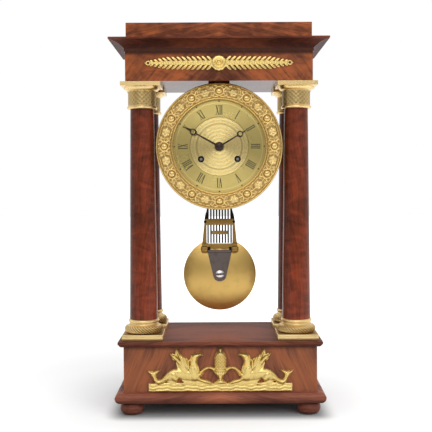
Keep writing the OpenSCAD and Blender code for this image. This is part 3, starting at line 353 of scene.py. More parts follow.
def turned_brass(name, shade, axis_z, rough, pitch=0.5, depth=0.05):
    """Brass turned on a lathe about an axis that runs from front to back."""
    f = Finish(name, Metallic=1.0)
    x, _, z = f.parts(f.place(shift=(0, 0, -axis_z)))
    rings = f.noise(f.join(x.hypot(z) / pitch, 0.0, 0.0), 1, 3, 0.7)
    haze = f.noise(f.place(), 0.05, 4, 0.6)
    return f.feed(
        Base_Color=f.mix(haze.step(0.45, 0.75) * 0.45, shade, toned(shade, 0.62)),
        Roughness=rough + rings * 0.12 + haze * 0.1,
        Normal=f.bump(rings, 0.6, depth),
    )


def scratches(f, along):
    """Fine scratches along one axis."""
    return f.noise(f.place(tuple(60.0 if axis == along else 900.0 for axis in "xyz")), 3, 3, 0.7)


def worked_metal(name, shade, rough, along, wear=0.3):
    """Filed and polished metal."""
    f = Finish(name, Metallic=1.0)
    scratch = scratches(f, along)
    haze = f.noise(f.place(), 0.12, 4, 0.6)
    return f.feed(
        Base_Color=f.mix(haze.step(0.45, 0.75) * wear, shade, toned(shade, 0.55)),
        Roughness=rough + scratch * 0.14 + haze * 0.08,
        Normal=f.bump(scratch, 0.15, 0.05),
    )


# Mesh helpers: pieces are drawn in the front view, in millimetres, x right, y up, z to the viewer


def facing(y, z):
    """Carries a front-view drawing to the plane y with its origin at height z."""
    turn = Matrix(((1, 0, 0, 0), (0, 0, -1, y), (0, 1, 0, z), (0, 0, 0, 1)))
    return Matrix.Scale(MM, 4) @ turn


def standing(z):
    """Carries a drawing with its own z upwards to a height in the clock."""
    return Matrix.Scale(MM, 4) @ Matrix.Translation((0, 0, z))


def mark_hollows(bm):
    """Notes how far the surface rises round each point: in the hollows gilding stays dark."""
    layer = bm.verts.layers.float.new("hollow")
    rise = {}
    for v in bm.verts:
        ways = [(e.other_vert(v).co - v.co).normalized() for e in v.link_edges]
        rise[v] = sum(v.normal.dot(way) for way in ways) / max(1, len(ways))
    for _ in range(2):
        rise = {
            v: (rise[v] + sum(rise[e.other_vert(v)] for e in v.link_edges))
            / (1 + len(v.link_edges))
            for v in bm.verts
        }
    for v, value in rise.items():
        v[layer] = value


def add_object(name, bm, material):
    """Makes a mesh an object of the scene."""
    mesh = bpy.data.meshes.new(name)
    bm.to_mesh(mesh)
    bm.free()
    mesh.materials.append(material)
    made = bpy.data.objects.new(name, mesh)
    bpy.context.scene.collection.objects.link(made)
    return made


def finish_piece(name, bm, matrix, material, body, replaces=(), sharp=40):
    """Closes a mesh, puts it in place and lets it ride on its body."""
    bmesh.ops.remove_doubles(bm, verts=bm.verts, dist=MERGE)
    bmesh.ops.recalc_face_normals(bm, faces=bm.faces)
    bm.transform(matrix)
    bm.normal_update()
    if not bm.verts.layers.float.get("hollow"):
        mark_hollows(bm)
    for face in bm.faces:
        face.smooth = True
    for edge in bm.edges:
        if len(edge.link_faces) == 2 and edge.calc_face_angle() > math.radians(sharp):
            edge.smooth = False
    piece = add_object(name, bm, material)
    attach(piece, body)
    if replaces:
        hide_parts(*replaces)


def dress(material, *nodes):
    """Gives CAD nodes a finish."""
    for name in nodes:
        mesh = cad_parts[name].data
        mesh.materials.clear()
        mesh.materials.append(material)


def bow(p, q, sag, count):
    """Arc from p to q that bulges to the left of the way by sag."""
    p, q = np.array(p, float), np.array(q, float)
    chord = np.linalg.norm(q - p)
    along = (q - p) / chord
    aside = np.array((-along[1], along[0])) * math.copysign(1, sag)
    radius = (chord**2 / 4 + sag**2) / (2 * abs(sag))
    steps = chord * (np.linspace(0, 1, count + 1) - 0.5)
    rise = np.sqrt(radius**2 - steps**2) - radius + abs(sag)
    return [tuple(p + along * (s + chord / 2) + aside * h) for s, h in zip(steps, rise)]


def arc(centre, radii, first, last, count):
    """Points of an ellipse between two angles, counted from its lowest point."""
    return [
        (centre[0] + radii[0] * math.sin(t), centre[1] - radii[1] * math.cos(t))
        for t in np.linspace(first, last, count)
    ]


def turned(bm, profile, steps, closed=False):
    """Spins a profile of (radius, height) points about z."""
    verts = [bm.verts.new((r, 0, h)) for r, h in profile]
    pairs = list(zip(verts, verts[1:])) + ([(verts[-1], verts[0])] if closed else [])
    edges = [bm.edges.new(pair) for pair in pairs]
    bmesh.ops.spin(
        bm, geom=verts + edges, cent=(0, 0, 0), axis=(0, 0, 1), angle=math.tau, steps=steps,
        use_merge=True, use_duplicate=False,
    )


def join_in(bm, part):
    """Adds a small mesh to a larger one."""
    spare = bpy.data.meshes.new("spare")
    part.to_mesh(spare)
    part.free()
    bm.from_mesh(spare)
    bpy.data.meshes.remove(spare)


def lobe(bm, at, length, width, height, turn=0.0, bend=0.0, vein=0.0, base=0.0, taper=0.0):
    """A domed leaf that starts at a place and runs off at an angle in degrees."""
    vein_width = 0.28
    leaf = bmesh.new()
    bmesh.ops.create_uvsphere(leaf, u_segments=16, v_segments=10, radius=1.0)
    c, s = math.cos(math.radians(turn)), math.sin(math.radians(turn))
    for v in leaf.verts:
        # the ball's poles point along the leaf
        along, across, up = v.co.z, v.co.x, v.co.y
        x = (along + 1) * length / 2
        y = across * width / 2 * (1 - taper * along) + bend * (along + 1) ** 2 / 4 * length
        h = base + up * height * (1 - vein * math.exp(-((across / vein_width) ** 2)))
        v.co = (at[0] + x * c - y * s, at[1] + x * s + y * c, h)
    join_in(bm, leaf)


def ball(bm, at, radius, height, base=0.0, segments=14):
    """A round boss, half sunk."""
    boss = bmesh.new()
    bmesh.ops.create_uvsphere(boss, u_segments=segments, v_segments=8, radius=1.0)
    bmesh.ops.scale(boss, vec=(radius, radius, height), verts=boss.verts)
    bmesh.ops.translate(boss, vec=(at[0], at[1], base), verts=boss.verts)
    join_in(bm, boss)


def points_of(made):
    """The points among what an operator has made."""
    return [g for g in made if isinstance(g, bmesh.types.BMVert)]


def plate(bm, outline, low, high):
    """Flat piece with a straight edge, from a front-view outline."""
    face = bm.faces.new([bm.verts.new((x, y, low)) for x, y in outline])
    grown = bmesh.ops.extrude_face_region(bm, geom=[face])["geom"]
    bmesh.ops.translate(bm, verts=points_of(grown), vec=(0, 0, high - low))


def bar(bm, x0, y0, x1, y1, low, high, edge=0.3, segments=3):
    """A bar with softened edges."""
    x0, x1 = sorted((x0, x1))
    made = bmesh.ops.create_cube(bm, size=1.0)["verts"]
    bmesh.ops.scale(bm, vec=(x1 - x0, y1 - y0, high - low), verts=made)
    bmesh.ops.translate(bm, vec=((x0 + x1) / 2, (y0 + y1) / 2, (low + high) / 2), verts=made)
    bmesh.ops.bevel(
        bm, geom=list({e for v in made for e in v.link_edges}), offset=edge, offset_type="OFFSET",
        segments=segments, profile=0.5, affect="EDGES", material=-1,
    )


def rosette(bm, radius, petals, base, turn=0.0):
    """An open flower round the origin: a ring of veined petals with a domed eye."""
    for i in range(petals):
        angle = turn + 360 * i / petals
        way = math.radians(angle)
        start = (0.28 * radius * math.cos(way), 0.28 * radius * math.sin(way))
        lobe(bm, start, 0.78 * radius, 0.8 * radius, 0.3 * radius, angle, vein=0.35, base=base)
    ball(bm, (0, 0), 0.36 * radius, 0.42 * radius, base + 0.1 * radius)


# Case


class CLOCK_OT_case(bpy.types.Operator):
    """Polish the boards of the case"""

    bl_idname = "clock.case"
    bl_label = "Case"

    def execute(self, context):
        w = context.scene.portico_clock.wood
        level = (0.2, 0.5, 0.98)
        # tint, way of the flame, ripple, lighter ends, and the band of painted shade below the top:
        # its depths from the top in millimetres and its strength
        veneers = (
            ("base_case", (0.74, 0.86, 1.0), (0.94, 0.5, 0.34), 0.0, 0.0, (5.0, 1.0, 0.45)),
            ("entablature", (0.87, 0.84, 0.66), (0.75, 0.5, 0.66), 0.24, 0.9, (9.5, 5.0, 0.9)),
            ("attic", (1.2, 1.04, 0.6), level, 0.3, 0.0, None),
        )
        for node, tint, flame, ripple, ends, band in veneers:
            shades = [toned(shade, *tint) for shade in (w.dark, w.mid, w.light)]
            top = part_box(node)[1].z
            painted_shade_band = band and (top - band[0] * MM, top - band[1] * MM, band[2])
            name = f"mahogany_{node}"
            dress(wood(name, shades, w.polish, flame, ripple, ends=ends, painted_shade_band=painted_shade_band), node)
        bandings = (
            ("plinth_board", (1.22, 1.5, 1.6)),
            ("base_top", (0.75, 0.8, 0.84)),
            # the cornice's darker tint is painted shade of its cove's shadow side
            ("cornice", (0.63, 0.58, 0.52)),
            ("bun_feet", (1.15, 1.4, 1.5)),
        )
        duller = w.polish + 0.28
        for node, tint in bandings:
            shades = [toned(shade, *tint) for shade in (w.band_dark, w.band_mid, w.band_light)]
            dress(wood(f"mahogany_{node}", shades, duller, level, coat=0.0), node)
        # the saddle takes the cornice's finish, painted shade included
        dress(bpy.data.materials["mahogany_cornice"], "saddle")
        return {"FINISHED"}


class CLOCK_OT_columns(bpy.types.Operator):
    """Polish the column shafts"""

    bl_idname = "clock.columns"
    bl_label = "Columns"

    def execute(self, context):
        w = context.scene.portico_clock.wood
        shades = (w.shaft_dark, w.shaft_mid, w.shaft_light)
        shaft = wood("mahogany_shaft", shades, w.polish, (0.99, 0.9, 0.08), 0.34, spread=0.14)
        for side in ("front_left", "front_right", "back_left", "back_right"):
            dress(shaft, "column_" + side)
        return {"FINISHED"}


class CLOCK_OT_column_bases(bpy.types.Operator):
    """Cast the gadrooned column bases"""

    bl_idname = "clock.column_bases"
    bl_label = "Column bases"

    def execute(self, context):
        settings = context.scene.portico_clock
        lobes = settings.gadroons
        # heights of the block and of the turned part on it, and half the block's width
        block, ring, half = 7.0, 17.0, 25.0
        # swell and half height of the torus, and the radius that it swells from
        swell, torus = 4.1, 4.7
        torus_x = half - swell - 1.4
        collar, collar_x = 0.125 * ring, 17.1
        shoulder = ring - 2 * collar
        # the gadroons' lean and how far they stand out, how dark their hollows and the cove are,
        # and the same darkness painted as shade on the block's top round the torus
        twist, stand, deep, shallow = 0.5, 0.1, 0.34, 0.12
        profile = [(0.0, 0.0), (torus_x, 0.0)]
        profile += arc((torus_x, torus), (swell, torus), 0.15, math.pi - 0.15, 14)
        profile += bow((torus_x + 0.6, 2 * torus), (collar_x + 0.6, shoulder), 0.8, 6)
        profile += arc((collar_x, ring - collar), (collar, collar), 0.2, math.pi - 0.2, 8)
        profile += [(collar_x, ring), (0.0, ring)]

        def wave(at, share):
            return abs(math.sin(lobes / 2 * (math.atan2(at.y, at.x) + twist * share)))

        bm = bmesh.new()
        for side_x, side_y in ((-1, -1), (-1, 1), (1, -1), (1, 1)):
            base = bmesh.new()
            turned(base, profile, lobes * 8)
            for v in base.verts:
                share = v.co.z / (2 * torus)
                if 0 < share < 1 and v.co.xy.length > torus_x:
                    out = 1 + (wave(v.co, share) - 0.8) * stand * math.sin(math.pi * share)
                    v.co.x *= out
                    v.co.y *= out
            base.transform(Matrix.Translation((0, 0, block)))
            bar(base, -half, -half, half, half, 0, block, 0.5, 2)
            # an inset on the block's top carries its painted shade
            top = [f for f in base.faces if f.normal.z > 0.99 and f.calc_area() > 4 * half]
            bmesh.ops.inset_individual(base, faces=top, thickness=0.5)
            base.transform(Matrix.Translation((side_x * COLUMN_X, side_y * COLUMN_Y, 0)))
            join_in(bm, base)
        layer = bm.verts.layers.float.new("hollow")
        for v in bm.verts:
            foot = (math.copysign(COLUMN_X, v.co.x), math.copysign(COLUMN_Y, v.co.y), block)
            at = v.co - Vector(foot)
            share = at.z / (2 * torus)
            if 0.02 < share < 0.98 and at.xy.length > torus_x - 1:
                v[layer] = deep * (1 - wave(at, share) ** 1.5)
            elif 1 < share and at.z < shoulder:
                v[layer] = shallow
            # painted shade on the block's top round the torus's foot
            elif abs(share) <= 0.02 and max(abs(at.x), abs(at.y)) < half - 0.8:
                v[layer] = deep
        gold = gilding("old_gilding", settings.metal.capital, 0.24, 0.35)
        place = standing(FLOOR_Z)
        finish_piece("gadrooned_bases", bm, place, gold, "case", ("column_bases",))
        return {"FINISHED"}


class CLOCK_OT_capitals(bpy.types.Operator):
    """Gild the capitals and cut the lozenges of their necks"""

    bl_idname = "clock.capitals"
    bl_label = "Capitals"

    def execute(self, context):
        metal = context.scene.portico_clock.metal
        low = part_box("capitals")[0].z / MM
        neck_low, neck_high, neck_radius, lozenge_size = low + 4.4, low + 21.6, 17.25, 5.2
        f = Finish("lozenged_gilding", Metallic=0.92)
        x, y, z = f.parts(f.place())
        around = (abs(y) - COLUMN_Y).angle(abs(x) - COLUMN_X) * neck_radius
        neck = (z - neck_low).step(0, 0.3) * (neck_high - z).step(0, 0.3)
        cuts = [abs((way * (math.pi / lozenge_size)).sin()) for way in (around + z, around - z)]
        lozenge = cuts[0] * cuts[1]
        worn = f.noise(f.place(), 0.16, 5, 0.62)
        dull = (neck * (lozenge.step(0.05, 0.5) * 0.3 + 0.38) + worn.step(0.5, 0.85) * 0.3).clamp()
        f.feed(
            Base_Color=f.mix(dull, metal.capital, toned(metal.capital, 0.3, 0.26, 0.18)),
            Roughness=0.26 + dull * 0.26,
            Normal=f.bump(worn * 0.03 - neck * lozenge * 0.5, 1.0, 0.4),
        )
        dress(f.material, "capitals")
        return {"FINISHED"}


class CLOCK_OT_frieze_mount(bpy.types.Operator):
    """Chase the palm branches of the frieze"""

    bl_idname = "clock.frieze_mount"
    bl_label = "Frieze mount"

    def execute(self, context):
        bm = bmesh.new()
        # reach of a branch; step, number and first place of its leaves; how many keep their height
        half, pitch, count, first, full = 83.0, 6.0, 13, 6.4, 8
        for side in (-1, 1):
            branch = bmesh.new()
            spine = [(1, 2.6), (30, 2.6), (60, 2.1), (76, 1.5), (half, 0.9)]
            plate(branch, spine + [(x, -y) for x, y in reversed(spine)], 0.0, 1.3)
            for i in range(count):
                at = (first + i * pitch, 0)
                tall = 9.2 * (1 - 0.1 * i / full) if i < full else 8.3 * (1 - (i - full) / 7.6)
                for up in (-1, 1):
                    turn = up * (52 - 0.6 * i)
                    long = tall / math.sin(math.radians(abs(turn)))
                    lobe(branch, at, long, 2.9, 1.1, turn, -up * 0.12, 0.3, 1.0, -0.3)
                    lobe(branch, at, 0.46 * long, 2.6, 0.8, up * 26, up * 0.1, 0.3, 1.3, 0.1)
            eyelet = bmesh.new()
            ring = arc((2.2, 1.0), (0.9, 0.9), math.pi / 2, 2.5 * math.pi, 9)[:-1]
            turned(eyelet, ring, 24, True)
            bmesh.ops.translate(eyelet, vec=(half + 2.2, 0, 0), verts=eyelet.verts)
            join_in(branch, eyelet)
            ball(branch, (half + 5.3, 0), 1.1, 1.2, 0.9, 10)
            bmesh.ops.scale(branch, vec=(side, 1, 1), verts=branch.verts)
            join_in(bm, branch)
        rosette(bm, 9.0, 12, 1.0)
        disc = bmesh.new()
        rim = [(6.4, 0), (6.4, 2.6), (6.0, 3.2), (5.2, 3.3), (4.6, 2.5)]
        turned(disc, [(0, 0), *rim, (0, 2.3)], 40)
        join_in(bm, disc)
        rosette(bm, 4.2, 6, 2.2, 30)
        shade = toned(context.scene.portico_clock.metal.mount, 1.18)
        gold = gilding("palm_gilding", shade, 0.2, 0.25, deep=0.16)
        plane = facing(FRIEZE_FRONT, FRIEZE_MOUNT_Z)
        finish_piece("palm_branches", bm, plane, gold, "case", ("frieze_mount",), 60)
        return {"FINISHED"}


# Griffins: outline and swellings of the left one, millimetres from the middle of the strip's foot

GRIFFIN_LINE = (
    (-89.3, 26.4), (-82, 25.6), (-72.2, 27), (-76, 23.6), (-77.8, 20.5), (-77.2, 17), (-74.5, 15.4),
    (-70.8, 17.2), (-67.2, 21.2), (-63, 25.2), (-57.5, 27.9), (-53, 28.5), (-53.8, 34),
    (-54.5, 37.4), (-57.5, 38.9), (-60.5, 44.4), (-61.7, 47.4), (-58.7, 47.4), (-55.1, 46.2),
    (-54.5, 50.5), (-53, 53.2), (-50.8, 50.5), (-47.2, 45.6), (-41.8, 41.9), (-38.4, 39.5),
    (-36.9, 40.7), (-35.7, 44.4), (-32.7, 47.1), (-28.4, 47.9), (-24.2, 47.6), (-21.1, 45.9),
    (-21.4, 44.1), (-23.6, 43.5), (-26, 41.9), (-28.1, 38.3), (-27.8, 34), (-26.3, 30.3),
    (-25.4, 25.5), (-25, 20), (-22.9, 16.3), (-15.1, 14.5), (-10.3, 11.4), (-9.6, 9.2), (-30, 8.6),
    (-55, 8.6), (-76, 8.8), (-80.2, 11.5), (-84, 18.8),
)
SCROLL_LINE = (
    (-26.5, 22), (-21.1, 28.6), (-14, 31.7), (-7.4, 29.6), (-4, 26), (-6.6, 23.6), (-12.6, 27.4),
    (-18, 25.8), (-23.6, 18.4),
)
GRIFFIN_HOLES = (
    ((-53.8, 11.1), (-44.6, 11.1), (-50.2, 16.3)),
    ((-68.5, 11.1), (-63, 11.1), (-66, 13)),
)
# way of a limb, its width at both ends and how far it stands out
GRIFFIN_LIMBS = (
    (((-62, 21), (-54, 23), (-46, 22), (-38, 21), (-32, 20)), 7.5, 7.0, 2.6),
    (((-57, 20.5), (-52.5, 15.5)), 6.4, 4.4, 3.4),
    (((-52, 13.5), (-45.5, 10.6)), 2.8, 2.2, 2.6),
    (((-33.5, 28), (-31.5, 19.5)), 6.2, 6.6, 3.8),
    (((-32.3, 28), (-32.6, 36), (-31.3, 42.2)), 4.8, 4.0, 3.2),
    (((-31.3, 43.2), (-27, 45.4)), 3.9, 3.0, 3.5),
    (((-25.6, 45.6), (-21.9, 45.0)), 2.2, 1.2, 2.6),
    (((-43.5, 26), (-46.5, 36)), 5.8, 5.0, 2.9),
    (((-44, 30), (-60.9, 46.6)), 2.6, 1.2, 3.2),
    (((-44, 31), (-56.4, 43.8)), 2.3, 1.6, 3.4),
    (((-43.5, 32), (-53.2, 52.2)), 2.4, 1.3, 3.5),
    (((-42, 32), (-48.6, 47.4)), 2.2, 1.3, 3.3),
    (((-40.5, 31), (-43.6, 42.2)), 2.2, 1.4, 3.1),
    (((-39, 29), (-39.2, 38.6)), 2.0, 1.3, 2.8),
    (((-31, 19), (-23, 15.2), (-12, 11.4)), 3.2, 2.2, 3.0),
    (((-62, 20.5), (-69, 15.5), (-75, 12.6), (-80, 14.5)), 4.6, 3.2, 2.8),
    (((-80, 14.5), (-81.4, 20), (-80, 24.2)), 3.2, 3.0, 2.6),
    (((-81.2, 21.5), (-88.4, 25.9)), 2.4, 0.9, 2.2),
    (((-80, 22), (-73, 26.5)), 2.2, 0.9, 2.2),
    (((-80.6, 21), (-81.6, 25.2)), 1.5, 1.1, 2.7),
    (((-26.5, 20), (-21.6, 27), (-14.2, 29.9), (-7.6, 27.6)), 2.6, 2.2, 2.6),
)
# right edges of the urn's pine cone, bowl and foot, and its swellings
URN_LINES = (
    (
        (7.2, 26), (7.4, 32), (7.4, 40), (7.0, 44.5), (6.0, 47.4), (4.2, 49.4), (2.2, 50.4),
        (1.6, 51.2), (1.9, 52.0), (1.2, 53.0), (0.2, 53.4),
    ),
    ((3.0, 15.4), (3.6, 18), (6.6, 21.5), (9.6, 25.2), (10.2, 26.8)),
    ((8.6, 9.6), (7.6, 12.2), (4.2, 14), (3.0, 15.6)),
)
URN_LIMBS = (
    (((0, 29), (0, 45)), 7.6, 6.4, 4.6),
    (((0, 50), (0, 52.2)), 2.2, 1.9, 3.0),
    (((-8, 26.2), (8, 26.2)), 1.6, 1.6, 4.2),
    (((-3.6, 22.4), (3.6, 22.4)), 3.6, 3.6, 3.6),
    (((0, 20), (0, 15)), 3.6, 2.8, 3.4),
    (((-6, 12.2), (6, 12.2)), 2.0, 2.0, 3.0),
)
STRIP_HALF, STRIP_TALL = 87.6, 10.6


def flowing(points, count):
    """Closed smooth curve through a ring of points."""
    ring = np.array(points, float)
    a, b = np.roll(ring, 1, 0), ring
    c, d = np.roll(ring, -1, 0), np.roll(ring, -2, 0)
    steps = [
        0.5
        * (
            2 * b + (c - a) * t + (2 * a - 5 * b + 4 * c - d) * t**2
            + (3 * b - a - 3 * c + d) * t**3
        )
        for t in np.arange(count) / count
    ]
    return np.stack(steps, 1).reshape(-1, 2)


def inside(points, ring):
    """Which points lie inside a closed outline."""
    x, y = points[:, :1], points[:, 1:]
    p, q = ring, np.roll(ring, -1, 0)
    over = (p[:, 1] > y) != (q[:, 1] > y)
    rise = np.where(q[:, 1] == p[:, 1], 1e-9, q[:, 1] - p[:, 1])
    cross = x < (q[:, 0] - p[:, 0]) * (y - p[:, 1]) / rise + p[:, 0]
    return (over & cross).sum(1) % 2 == 1


def nearest(points, p, q):
    """Distance from points to segments, the place along them and the nearest spot."""
    way = q - p
    length = np.maximum((way**2).sum(1), 1e-12)
    t = np.clip(((points[:, None] - p) * way).sum(2) / length, 0, 1)
    spot = p + t[..., None] * way
    gap = np.linalg.norm(points[:, None] - spot, axis=2)
    return gap, t, spot


def limb_height(points, way, first, last, crest):
    """Round swelling along a way."""
    way = np.array(way, float)
    gap, t, _ = nearest(points, way[:-1], way[1:])
    share = (np.arange(len(way) - 1) + t) / (len(way) - 1)
    width = first + (last - first) * share
    return (crest * np.clip(1 - (gap / width) ** 2, 0, 1)).max(1)


def mirrored(points):
    return [(-x, y) for x, y in reversed(points)]


def mount_outlines():
    """Outlines of the base mount's solid places and of its holes."""
    strip = [(STRIP_HALF, 0), (STRIP_HALF, STRIP_TALL)]
    solids = [np.array([*line, *mirrored(line)], float) for line in (strip, *URN_LINES)]
    for line in (GRIFFIN_LINE, SCROLL_LINE):
        solids += [flowing(line, 4), flowing(mirrored(line), 4)]
    holes = [np.array(h, float) for hole in GRIFFIN_HOLES for h in (hole, mirrored(hole))]
    return solids, holes


def true_edge(solids, holes):
    """Segments of the outlines that no other solid covers."""
    starts, ends = [], []
    for i, ring in enumerate(solids + holes):
        following = np.roll(ring, -1, 0)
        free = np.ones(len(ring), bool)
        for other in solids[:i] + solids[i + 1:] if i < len(solids) else ():
            free &= ~inside((ring + following) / 2, other)
        starts.append(ring[free])
        ends.append(following[free])
    return np.concatenate(starts), np.concatenate(ends)


def chased_height(at, gap):
    """Height of the base mount at places that lie gap inside its edge."""
    x, y = at.T

    def within(reach):
        return np.clip(gap / reach, 0, 1)

    # a low upright edge, rounded over
    upright, rounded = 1.5, 0.8
    height = upright + rounded * np.sqrt(1 - (1 - within(1.5)) ** 2)
    limbs = np.zeros(len(at))
    for way, *swelling in GRIFFIN_LIMBS + URN_LIMBS:
        for line in (way, mirrored(way)[::-1]):
            limbs = np.maximum(limbs, limb_height(at, line, *swelling))
    height += 0.9 * limbs * within(2.4) ** 0.8
    scales = np.abs(np.sin(0.8 * y + 0.85 * x) * np.sin(0.8 * y - 0.85 * x))
    height += np.where((abs(x) < 7.4) & (y > 28.5) & (y < 49), 1.5 * scales * within(1.5), 0)
    flutes = np.abs(np.sin(1.2 * x))
    height += np.where((abs(x) < 9) & (y > 17) & (y < 25), 0.7 * flutes * within(1), 0)
    waves = np.sin(1.55 * y + 1.4 * np.sin(0.21 * x) + 0.8 * np.sin(0.53 * x + 1))
    water = (y < STRIP_TALL - 0.6) & (y > 1.2) & (limbs < 0.4)
    height += np.where(water, 0.25 * waves * within(1.6), 0)
    feathers = np.abs(np.sin(2.1 * (y - 0.6 * abs(x))))
    wing = (abs(x) > 39) & (abs(x) < 62) & (y > 33)
    return height - np.where(wing, 0.3 * feathers * within(1.5), 0)


class CLOCK_OT_base_mount(bpy.types.Operator):
    """Chase the griffins, the urn and the strip of the base"""

    bl_idname = "clock.base_mount"
    bl_label = "Base mount"

    def execute(self, context):
        # a grid is cut out along the outlines, raised and closed behind
        wide, tall, below, cell, batch = 180, 55, 0.3, 0.55, 2000
        bm = bmesh.new()
        columns, rows = int(wide / cell), int(tall / cell)
        bmesh.ops.create_grid(bm, x_segments=columns, y_segments=rows, size=1.0)
        bmesh.ops.scale(bm, vec=(wide / 2, tall / 2, 1), verts=bm.verts)
        bmesh.ops.translate(bm, vec=(0, tall / 2 - below, 0), verts=bm.verts)
        verts = list(bm.verts)
        at = np.array([v.co.xy for v in verts])
        solids, holes = mount_outlines()
        keep = np.any([inside(at, ring) for ring in solids], 0)
        keep &= ~np.any([inside(at, ring) for ring in holes], 0)
        edge = true_edge(solids, holes)
        gap = np.empty(len(at))
        spot = np.empty_like(at)
        for start in range(0, len(at), batch):
            part = slice(start, start + batch)
            gaps, _, spots = nearest(at[part], *edge)
            pick = np.arange(len(gaps)), gaps.argmin(1)
            gap[part], spot[part] = gaps[pick], spots[pick]
        snap = gap < 0.5 * cell
        keep |= snap
        at[snap] = spot[snap]
        gap[snap] = 0
        for v, (x, y), height in zip(verts, at, chased_height(at, gap)):
            v.co = (x, y, height)
        bmesh.ops.delete(bm, geom=[v for v, k in zip(verts, keep) if not k], context="VERTS")
        bmesh.ops.delete(bm, geom=[v for v in bm.verts if not v.link_faces], context="VERTS")
        grown = bmesh.ops.extrude_face_region(bm, geom=bm.faces[:], use_keep_orig=True)["geom"]
        front = set(points_of(grown))
        for v in bm.verts:
            if v not in front:
                v.co.z = 0.0
        shade = context.scene.portico_clock.metal.mount
        gold = gilding("burnished_gilding", shade, 0.2, 0.35, deep=0.11)
        clear = 0.2
        plane = facing(CASE_FRONT, CASE_Z + clear)
        finish_piece("griffins_and_urn", bm, plane, gold, "case", ("base_mount",), 50)
        return {"FINISHED"}


# the bezel's outer and inner radius, and the chased field between its two beads
BEZEL_RIM, BEZEL_SIGHT = 77.3, 57.0
FIELD_IN, FIELD_OUT = BEZEL_SIGHT + 2.2, BEZEL_RIM - 2.4
# ornaments beside a boss of the bezel: way, width at both ends and how far it stands out
BEZEL_SCROLLS = (
    (((6.2, 2.4), (7.4, 4.9), (9.4, 5.6), (10.7, 4.4), (9.8, 3.2), (8.8, 3.6)), 1.1, 0.8, 1.4),
    (
        ((6.2, -2.4), (7.4, -5.0), (9.4, -5.7), (10.7, -4.5), (9.8, -3.3), (8.8, -3.7)),
        1.1, 0.8, 1.4,
    ),
    (((6.6, 0.0), (9.0, 0.0), (12.0, 0.0)), 1.4, 0.8, 1.4),
)
# those that stand alike on both sides of the field's middle
BEZEL_LEAVES = (
    (((2.4, 6.9), (5.6, 6.9), (7.6, 6.6)), 1.0, 0.7, 1.2),
    (((11.4, 6.6), (14.0, 6.9), (17.0, 6.6)), 1.0, 0.8, 1.2),
    (((9.0, 1.9), (9.2, 1.9)), 0.9, 0.9, 1.3),
)


def crown(radius):
    """Height of the bezel's field at a radius."""
    share = (FIELD_OUT - radius) / (FIELD_OUT - FIELD_IN)
    return 2.9 + 2.2 * share + 6.0 * share * (1 - share)


class CLOCK_OT_bezel(bpy.types.Operator):
    """Cast the bezel with its rosettes and leaves"""

    bl_idname = "clock.bezel"
    bl_label = "Bezel"

    def execute(self, context):
        rim, sight, edge = BEZEL_RIM, BEZEL_SIGHT, crown(FIELD_IN)
        profile = [(FIELD_IN, 0), (rim, 0)]
        profile += [(rim, 2.0), (rim - 0.5, 2.9), (rim - 1.4, 3.2), (rim - 2.0, 2.6)]
        profile += [(r, crown(r)) for r in np.linspace(FIELD_OUT, FIELD_IN, 38)]
        bead = [(-0.3, -0.9), (-0.6, -0.8), (-0.9, 0.3), (-1.3, 0.6), (-1.8, 0.4), (-2.2, -0.4)]
        profile += [(FIELD_IN + out, edge + up) for out, up in bead]
        profile += [(sight, 1.6), (FIELD_IN, 1.6)]
        bm = bmesh.new()
        turned(bm, profile, 720, True)
        bmesh.ops.remove_doubles(bm, verts=bm.verts, dist=MERGE)
        self.chase(bm)
        shade = context.scene.portico_clock.metal.bezel
        gold = gilding("cast_gilding", shade, 0.2, 0.3, 0.2, 0.31)
        plane = facing(BEZEL_BACK, DIAL_Z)
        finish_piece("leaf_bezel", bm, plane, gold, "case", ("bezel",), 60)
        return {"FINISHED"}

    def chase(self, bm):
        """Raises bosses, flowers and scrolls on the field: twelve of each, turn about."""
        near, repeats, hollow, flat = 0.1, 12, 0.26, 0.9
        layer = bm.verts.layers.float.new("hollow")
        low, high = FIELD_IN - near, FIELD_OUT + near
        field = [v for v in bm.verts if low < v.co.xy.length < high and v.co.z > 2]
        x, y, _ = np.array([v.co for v in field]).T
        radius, turn = np.hypot(x, y), np.arctan2(x, y)
        mean, sector = (FIELD_IN + FIELD_OUT) / 2, math.tau / repeats
        # places as seen from the nearest boss and from the nearest flower
        out = radius - mean
        aside = ((turn + sector / 2) % sector - sector / 2) * mean
        beside = (turn % sector - sector / 2) * mean
        boss = np.hypot(aside, out)
        flower, petal = np.hypot(beside, out), np.abs(np.cos(3 * np.arctan2(out, beside)))

        def dome(gap, size, crest):
            return crest * np.sqrt(np.clip(1 - (gap / size) ** 2, 0, 1))

        groove = np.where(flower > 1.4, 0.45 + 0.55 * petal**0.5, 1)
        forms = [dome(boss, 4.0, 2.9), dome(boss - 5.5, 1.0, 1.7), dome(flower, 1.6, 2.5)]
        forms.append(dome(flower, 5.4 * (0.84 + 0.16 * petal), 2.0) * groove)
        place = np.stack([np.abs(aside), out], 1)
        forms += [limb_height(place, *scroll) for scroll in BEZEL_SCROLLS]
        place[:, 1] = np.abs(out)
        forms += [limb_height(place, *leaf) for leaf in BEZEL_LEAVES]
        fade = np.clip(np.minimum(FIELD_OUT - radius, radius - FIELD_IN) / 0.5, 0, 1)
        for v, rise in zip(field, np.max(forms, 0) * fade):
            v.co.z += rise
            v[layer] = hollow * max(0.0, 1 - rise / flat)


